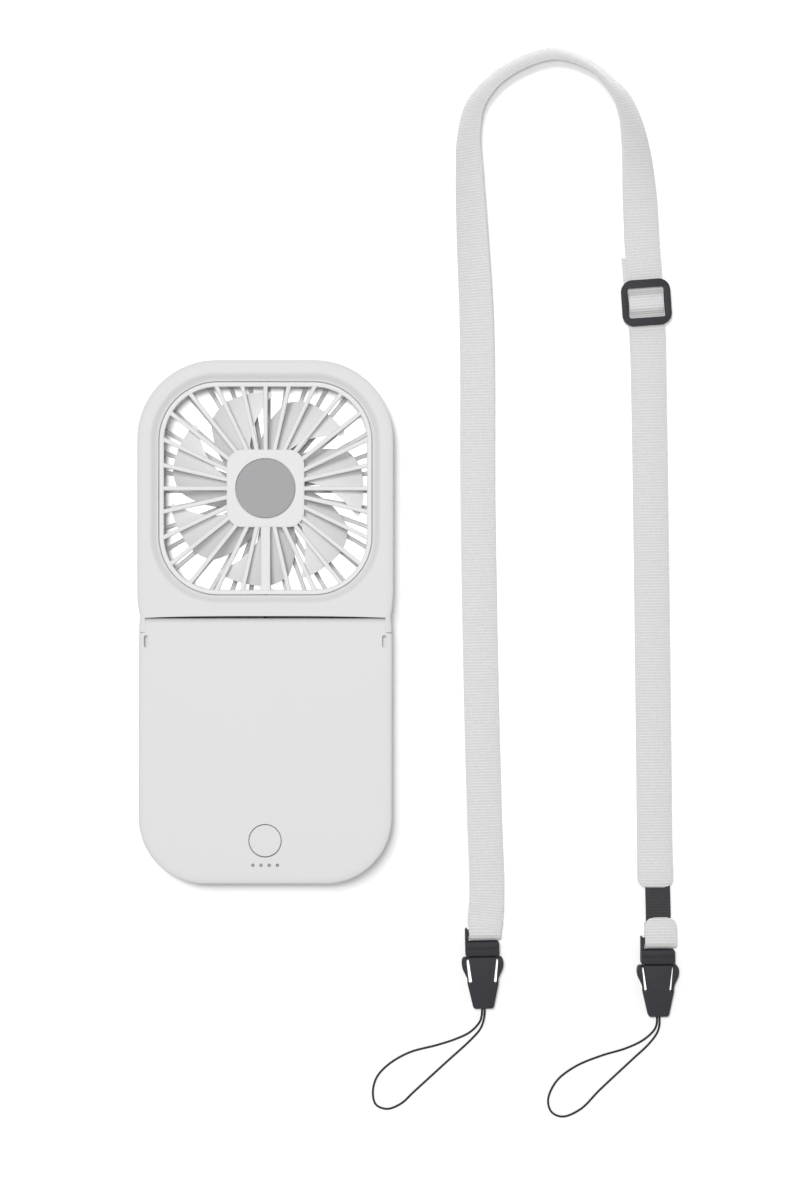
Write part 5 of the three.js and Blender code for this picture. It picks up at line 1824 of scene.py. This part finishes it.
@dataclass
class FanHead:
    """Fan head: front frame, both grilles, hub disc, rear cover and the fixed part of the motor."""

    case: CaseHalf = CaseHalf(35.6, 22.0, 1, 0.8, 8.0, end_gap=-0.05, middle_gap=0.38)
    hinge: Hinge = field(default_factory=Hinge)
    screws: Screws = field(default_factory=Screws)
    thickness: float = 20.0
    parting: float = 8.0
    gap: float = 0.3
    front_round: Flat = (2.2, 0.7)
    rear_round: float = 1.6
    axis: Flat = (0.0, 37.2)
    grille_half: float = 29.6
    grille_corner: float = 16.3
    grille_ring: float = 1.3
    grille_face: float = 18.3
    grille_depth: float = 1.9
    bevel_half: float = 31.9
    bevel: Tuple[Flat, ...] = ((1.18, 0.0), (1.05, 0.03), (0.9, 0.12), (0.7, 0.34), (0.5, 0.58), (0.3, 0.8),
                               (0.15, 0.92), (0.05, 0.97))
    duct: Flat = (30.4, 17.1)
    lip_thickness: float = 1.1
    hub_half: float = 10.85
    hub_corner: float = 4.5
    disc_radius: float = 8.25
    disc_sink: float = 0.25
    disc_edge: float = 0.2
    disc_thickness: float = 0.8
    disc_play: float = 0.15
    disc_seat: float = 1.1
    disc_border: float = 0.8
    seat_edge: float = 0.1
    hub_border: float = 0.4
    hub_steps: int = 10
    boss: Flat = (3.4, 9.2)
    bush_bore: Tuple[float, float, float] = (2.4, 8.0, 16.8)
    soft: float = 0.3
    front_spokes: int = 28
    rear_spokes: int = 36
    spoke_width: float = 1.2
    wide_spoke: float = 2.7
    spoke_play: Flat = (0.2, 0.15)
    spoke_root: float = 0.9
    spoke_round: float = 0.32
    rear_depth: float = 2.0
    rear_hub: float = 10.0
    rear_play: float = 0.1
    rear_root: float = 0.7
    rear_reach: float = 1.2
    screw_spots: Tuple[Flat, ...] = ((-26.9, 64.1), (26.9, 64.1), (-30.3, 6.6), (30.3, 6.6))

    def square(self, half: float, corner: float, z: float, steps: int = ARC) -> Ring:
        """Rounded square about the fan axis at a height."""
        return at_height(rounded_outline(half, half, corner, steps, self.axis), z)

    def front_frame(self) -> None:
        """Side wall, flat rim, sunk bevel and hinge ears."""
        low = self.parting + self.gap / 2
        seat, corner = self.grille_half + self.gap / 2, self.grille_corner + self.gap / 2
        lip = seat - self.grille_ring + self.gap
        spread = self.bevel_half - seat
        floor = self.grille_face - self.grille_depth - self.gap
        outer = self.case.wall(low, self.thickness, 0, self.front_round)
        drop = self.thickness - self.grille_face
        bevel = [(spread * out, self.thickness - drop * down) for out, down in self.bevel]
        inner = [
            *(self.square(seat + out, corner + out, z) for out, z in bevel),
            self.square(seat, corner, self.grille_face - 0.15),
            self.square(seat, corner, floor),
            self.square(lip, corner - seat + lip, floor),
            self.square(lip, corner - seat + lip, floor - self.lip_thickness),
            self.square(*self.duct, floor - self.lip_thickness),
            self.square(*self.duct, low),
        ]
        draft = Draft().loft(outer, caps=False).loft(inner, caps=False)
        draft.plate(outer[-1], [inner[0]], up=True).plate(outer[0], [inner[-1]], up=False)
        shell = carve(draft.mesh("head_front"), self.hinge.ears(), Carving.JOIN)
        lead_bore = self.hinge.lead_rod(self.hinge.lead_hole, *self.hinge.head_bore)
        carve(shell, [lead_bore, *self.hinge.pin_holes(), *self.screws.holes(self.screw_spots)])
        dress(shell, WHITE_SHELL, Body.HEAD, "head_front_frame")

    def spokes(self, count: int, width: Callable[[int], float], z: Flat, first: float, half: float,
               corner: float, rounding: float) -> Draft:
        """Straight spokes round the fan axis.

        Args:
            count: number of spokes, the first at the top.
            width: width of each spoke.
            z: lowest and highest place.
            first: radius at which they start.
            half: half of the rounded square that they end on.
            corner: that square's corner radius.
            rounding: radius of their upper edges.

        Returns:
            All spokes.
        """
        spokes = Draft()
        for i in range(count):
            turn = -2 * math.pi * i / count
            reach = outline_reach(half, corner, turn + math.pi / 2)
            wide = width(i) / 2
            section = rounded_profile((-wide, z[0]), (wide, z[1]), rounding)
            bar = Draft().loft([[(x, y, height) for x, height in section] for y in (reach, first)])
            place = Matrix.Translation((*self.axis, 0)) @ Matrix.Rotation(turn, 4, "Z")
            spokes.join(bar.moved(place))
        return spokes

    def front_grille(self) -> None:
        """Ring, straight spokes, a wide spoke for the lead and the square hub."""
        low, high = self.grille_face - self.grille_depth, self.grille_face
        soft, half, corner = self.soft, self.grille_half, self.grille_corner
        section = rounded_profile((0, low), (self.grille_ring, high), soft)
        ring = [self.square(half - inset, corner - inset, z) for inset, z in reversed(section)]
        draft = Draft().loft(ring, closed=True)
        hub, hub_corner, steps = self.hub_half, self.hub_corner, 3
        wall = [self.square(hub, hub_corner, low, self.hub_steps)]
        for i in range(steps + 1):
            angle = i / steps * math.pi / 2
            inset, drop = soft * (1 - math.cos(angle)), soft * (1 - math.sin(angle))
            wall.append(self.square(hub - inset, hub_corner - inset, high - drop, self.hub_steps))
        border = self.hub_border
        wall.append(self.square(hub - soft - border, hub_corner - soft - border, high, self.hub_steps))
        bore = self.disc_radius + self.disc_play
        floor = high - self.disc_seat
        edge = self.seat_edge
        rim = [circle(radius, z, self.axis, WHEEL)
               for radius, z in ((bore + edge, high), (bore, high - edge), (bore, floor))]
        draft.loft(wall, caps=False).loft(rim, caps=False)
        draft.plate(wall[-1], [rim[0]], up=True).plate(rim[-1], [], up=True).plate(wall[0], [], up=False)
        lowest = self.front_spokes // 2
        middle = self.grille_ring / 2
        bars = self.spokes(self.front_spokes, lambda i: self.wide_spoke if i == lowest else self.spoke_width,
                           (low + self.spoke_play[0], high - self.spoke_play[1]),
                           self.disc_radius + self.spoke_root, half - middle, corner - middle,
                           self.spoke_round)
        boss, boss_low = self.boss
        boss_rod = Draft().rod(boss, boss_low, low + soft, self.axis)
        grille = carve(draft.mesh("front_grille_bars"), [bars, boss_rod], Carving.JOIN)
        carve(grille, [Draft().rod(*self.bush_bore, self.axis)])
        # the grille's white is painted lighter than the shell's, against the shade below the rim
        dress(grille, WHITE_GRILLE_PAINTED_LIGHTER, Body.HEAD, "front_grille")

    def hub_disc(self) -> None:
        """Bare grey disc in the hub."""
        top, low = self.grille_face - self.disc_sink, self.grille_face - self.disc_thickness
        radius, edge = self.disc_radius, self.disc_edge
        profile = [(radius - self.seat_edge, low), (radius, low + self.seat_edge), (radius, top - edge)]
        profile.extend(rim_round(radius, top, edge))
        profile.append((radius - self.disc_border, top))
        disc = Draft().lathe(profile, self.axis, 96).mesh("hub_cover_disc")
        dress(disc, GREY_DISC, Body.HEAD, "hub_disc")

    def rear_cover(self) -> None:
        """Rear cover with its finer grille."""
        high = self.parting - self.gap / 2
        half, corner = self.duct
        outer = self.case.wall(0, high, self.rear_round, (0, 0))
        soft, hub, depth = self.soft, self.rear_hub, self.rear_depth
        inner = [self.square(half, corner, high), self.square(half, corner, soft),
                 self.square(half + soft, corner + soft, 0)]
        draft = Draft().loft(outer, caps=False).loft(inner, caps=False)
        draft.plate(outer[-1], [inner[0]], up=True).plate(outer[0], [inner[-1]], up=False)
        play, reach = self.rear_play, self.rear_reach
        bars = self.spokes(self.rear_spokes, lambda i: self.spoke_width, (play, depth - play),
                           hub - self.rear_root, half + reach, corner + reach, soft)
        profile = [(hub - soft, 0), (hub, soft), (hub, depth - soft), (hub - soft, depth)]
        plate = Draft().lathe(profile, self.axis)
        cover = carve(draft.mesh("head_rear"), [bars, plate], Carving.JOIN)
        carve(cover, self.screws.holes(self.screw_spots))
        dress(cover, WHITE_SHELL, Body.HEAD, "head_rear_cover")

    def build(self) -> None:
        """Make every piece of the head."""
        self.front_frame()
        self.front_grille()
        self.hub_disc()
        self.rear_cover()
        self.screws.build(self.screw_spots, "head", Body.HEAD)
        dress_node("motor_stator", COPPER)
        dress_node("motor_bush", BRONZE)


@dataclass
class Rotor:
    """Turning parts: the impeller with its swept blades, the rotor cup and the shaft."""

    axis: Flat = (0.0, 37.2)
    blades: int = 7
    tip: float = 27.2
    root: float = 9.9
    span_deg: float = 41.0
    sweep_deg: float = 1.8
    first_deg: float = 103.0
    sweep_from: float = 11.1
    thickness: float = 1.0
    rear: float = 7.2
    rise: float = 7.0
    camber: float = 0.7
    hub_radius: float = 10.4
    hub_floor: float = 5.6
    hub_top: float = 14.8
    hub_plate: float = 1.2
    cup_inner: float = 9.35
    shaft_hole: float = 1.3
    nose_round: Flat = (2.2, 0.3)
    tail_round: Flat = (0.9, 0.1)
    thinning: Flat = (0.55, 0.45)

    def blade(self, turn: float) -> Draft:
        """One swept, pitched blade as a thin curved sheet.

        Args:
            turn: angle of the blade in degrees.

        Returns:
            The blade.
        """
        chord_steps, span_steps = 20, 14
        rings = []
        for i in range(span_steps + 1):
            ring = []
            for side in (-1, 1):
                order = range(chord_steps + 1) if side < 0 else range(chord_steps, -1, -1)
                for j in order:
                    s = j / chord_steps
                    nose = self.nose_round[0] * max(0.0, 1 - s / self.nose_round[1]) ** 2
                    tail = self.tail_round[0] * max(0.0, 1 - (1 - s) / self.tail_round[1]) ** 2
                    lost = nose + tail
                    r = self.root + (self.tip - lost - self.root) * i / span_steps
                    angle = math.radians(self.first_deg - self.sweep_deg * (r - self.sweep_from)
                                         - self.span_deg * s + turn)
                    thin = self.thinning[0] + self.thinning[1] * math.sin(math.pi * s) ** 0.5
                    z = (self.rear + self.rise * s + self.camber * (1 - (2 * s - 1) ** 2)
                         + side * thin * self.thickness / 2)
                    ring.append((self.axis[0] + r * math.cos(angle), self.axis[1] + r * math.sin(angle), z))
            rings.append(ring)
        last = 2 * chord_steps + 1
        ends = [(j, j + 1, last - 1 - j, last - j) for j in range(chord_steps)]
        return Draft().loft(rings, caps=False).add(rings[0], ends).add(rings[-1], ends)

    def build(self) -> None:
        """Make the impeller and dress the turning motor parts."""
        floor, radius, plate = self.hub_floor, self.hub_radius, self.hub_floor + self.hub_plate
        profile = [(self.shaft_hole, floor), (radius - 1, floor), (radius, floor + 1), (radius, self.hub_top),
                   (self.cup_inner, self.hub_top), (self.cup_inner, plate), (self.shaft_hole, plate)]
        impeller = Draft().tube_ring(profile, self.axis).mesh("impeller_blades")
        carve(impeller, [self.blade(-360 * i / self.blades) for i in range(self.blades)], Carving.JOIN)
        dress(impeller, WHITE_BLADE, Body.ROTOR, "impeller")
        dress_node("rotor_cup", STEEL)
        dress_node("motor_shaft", STEEL)


@dataclass
class Studio:
    """White table, soft light from the upper left, and a camera straight above."""

    view_centre: Flat = (39.0, 6.1)
    camera_height: float = 797.0
    lens: float = 83.9
    sensor: float = 36.0
    key_place: Point = (-115.0, 250.0, 1600.0)
    key_size: float = 0.25
    key_power: float = 11.0
    fill_place: Point = (12.0, 40.0, 800.0)
    fill_size: float = 0.06
    fill_power: float = 2.05
    world: float = 0.31
    table_half: float = 3000.0
    table_z: float = -0.05

    def camera(self) -> None:
        """Camera that looks straight down with +Y up in the picture."""
        data = bpy.data.cameras.new("camera")
        data.lens = self.lens
        data.sensor_width = self.sensor
        data.sensor_fit = "AUTO"
        data.clip_start = 0.01
        eye = bpy.data.objects.new("camera", data)
        eye.location = (self.view_centre[0] * MM, self.view_centre[1] * MM, self.camera_height * MM)
        bpy.context.scene.collection.objects.link(eye)
        bpy.context.scene.camera = eye

    def light(self) -> None:
        """Pale surroundings that the camera sees as white, a lamp on the upper left and a fill lamp."""
        scene = bpy.context.scene
        scene.view_settings.view_transform = "Standard"
        world = bpy.data.worlds.new("studio")
        world.use_nodes = True
        tree = world.node_tree
        background = tree.nodes["Background"]
        background.inputs["Color"].default_value = (1.0, 1.0, 1.0, 1.0)
        strength = math_node(tree, "MULTIPLY_ADD", seen_rays(tree), 1.0 - self.world, self.world)
        tree.links.new(strength, background.inputs["Strength"])
        scene.world = world
        self.lamp("key", self.key_place, self.key_size, self.key_power)
        fill = self.lamp("fill", self.fill_place, self.fill_size, self.fill_power)
        fill.visible_glossy = False

    def lamp(self, name: str, place: Point, size: float, power: float) -> bpy.types.Object:
        """Round lamp that points at the middle of the picture.

        Args:
            name: name of the lamp.
            place: its place in millimetres.
            size: its diameter in metres.
            power: its power in watts.

        Returns:
            The lamp.
        """
        data = bpy.data.lights.new(name, "AREA")
        data.shape = "DISK"
        data.size = size
        data.energy = power
        lamp = bpy.data.objects.new(name, data)
        lamp.location = Vector(place) * MM
        target = Vector((*self.view_centre, 0)) * MM
        lamp.rotation_euler = (target - lamp.location).to_track_quat("-Z", "Y").to_euler()
        bpy.context.scene.collection.objects.link(lamp)
        return lamp

    def table(self) -> None:
        """White table top under everything."""
        half = self.table_half
        corners = [(-half, -half), (half, -half), (half, half), (-half, half)]
        floor = Draft().add(at_height(corners, self.table_z), [(0, 1, 2, 3)]).mesh("table")
        floor.data.materials.append(TABLE.material())


def main() -> None:
    """Build the studio, the lanyard and the fan in order."""
    logging.basicConfig(level=logging.INFO, format="%(message)s")
    studio = Studio()
    studio.camera()
    Lanyard().build()
    BaseUnit().build()
    FanHead().build()
    Rotor().build()
    Hinge().build()
    studio.light()
    studio.table()


if __name__ == "__main__":
    main()
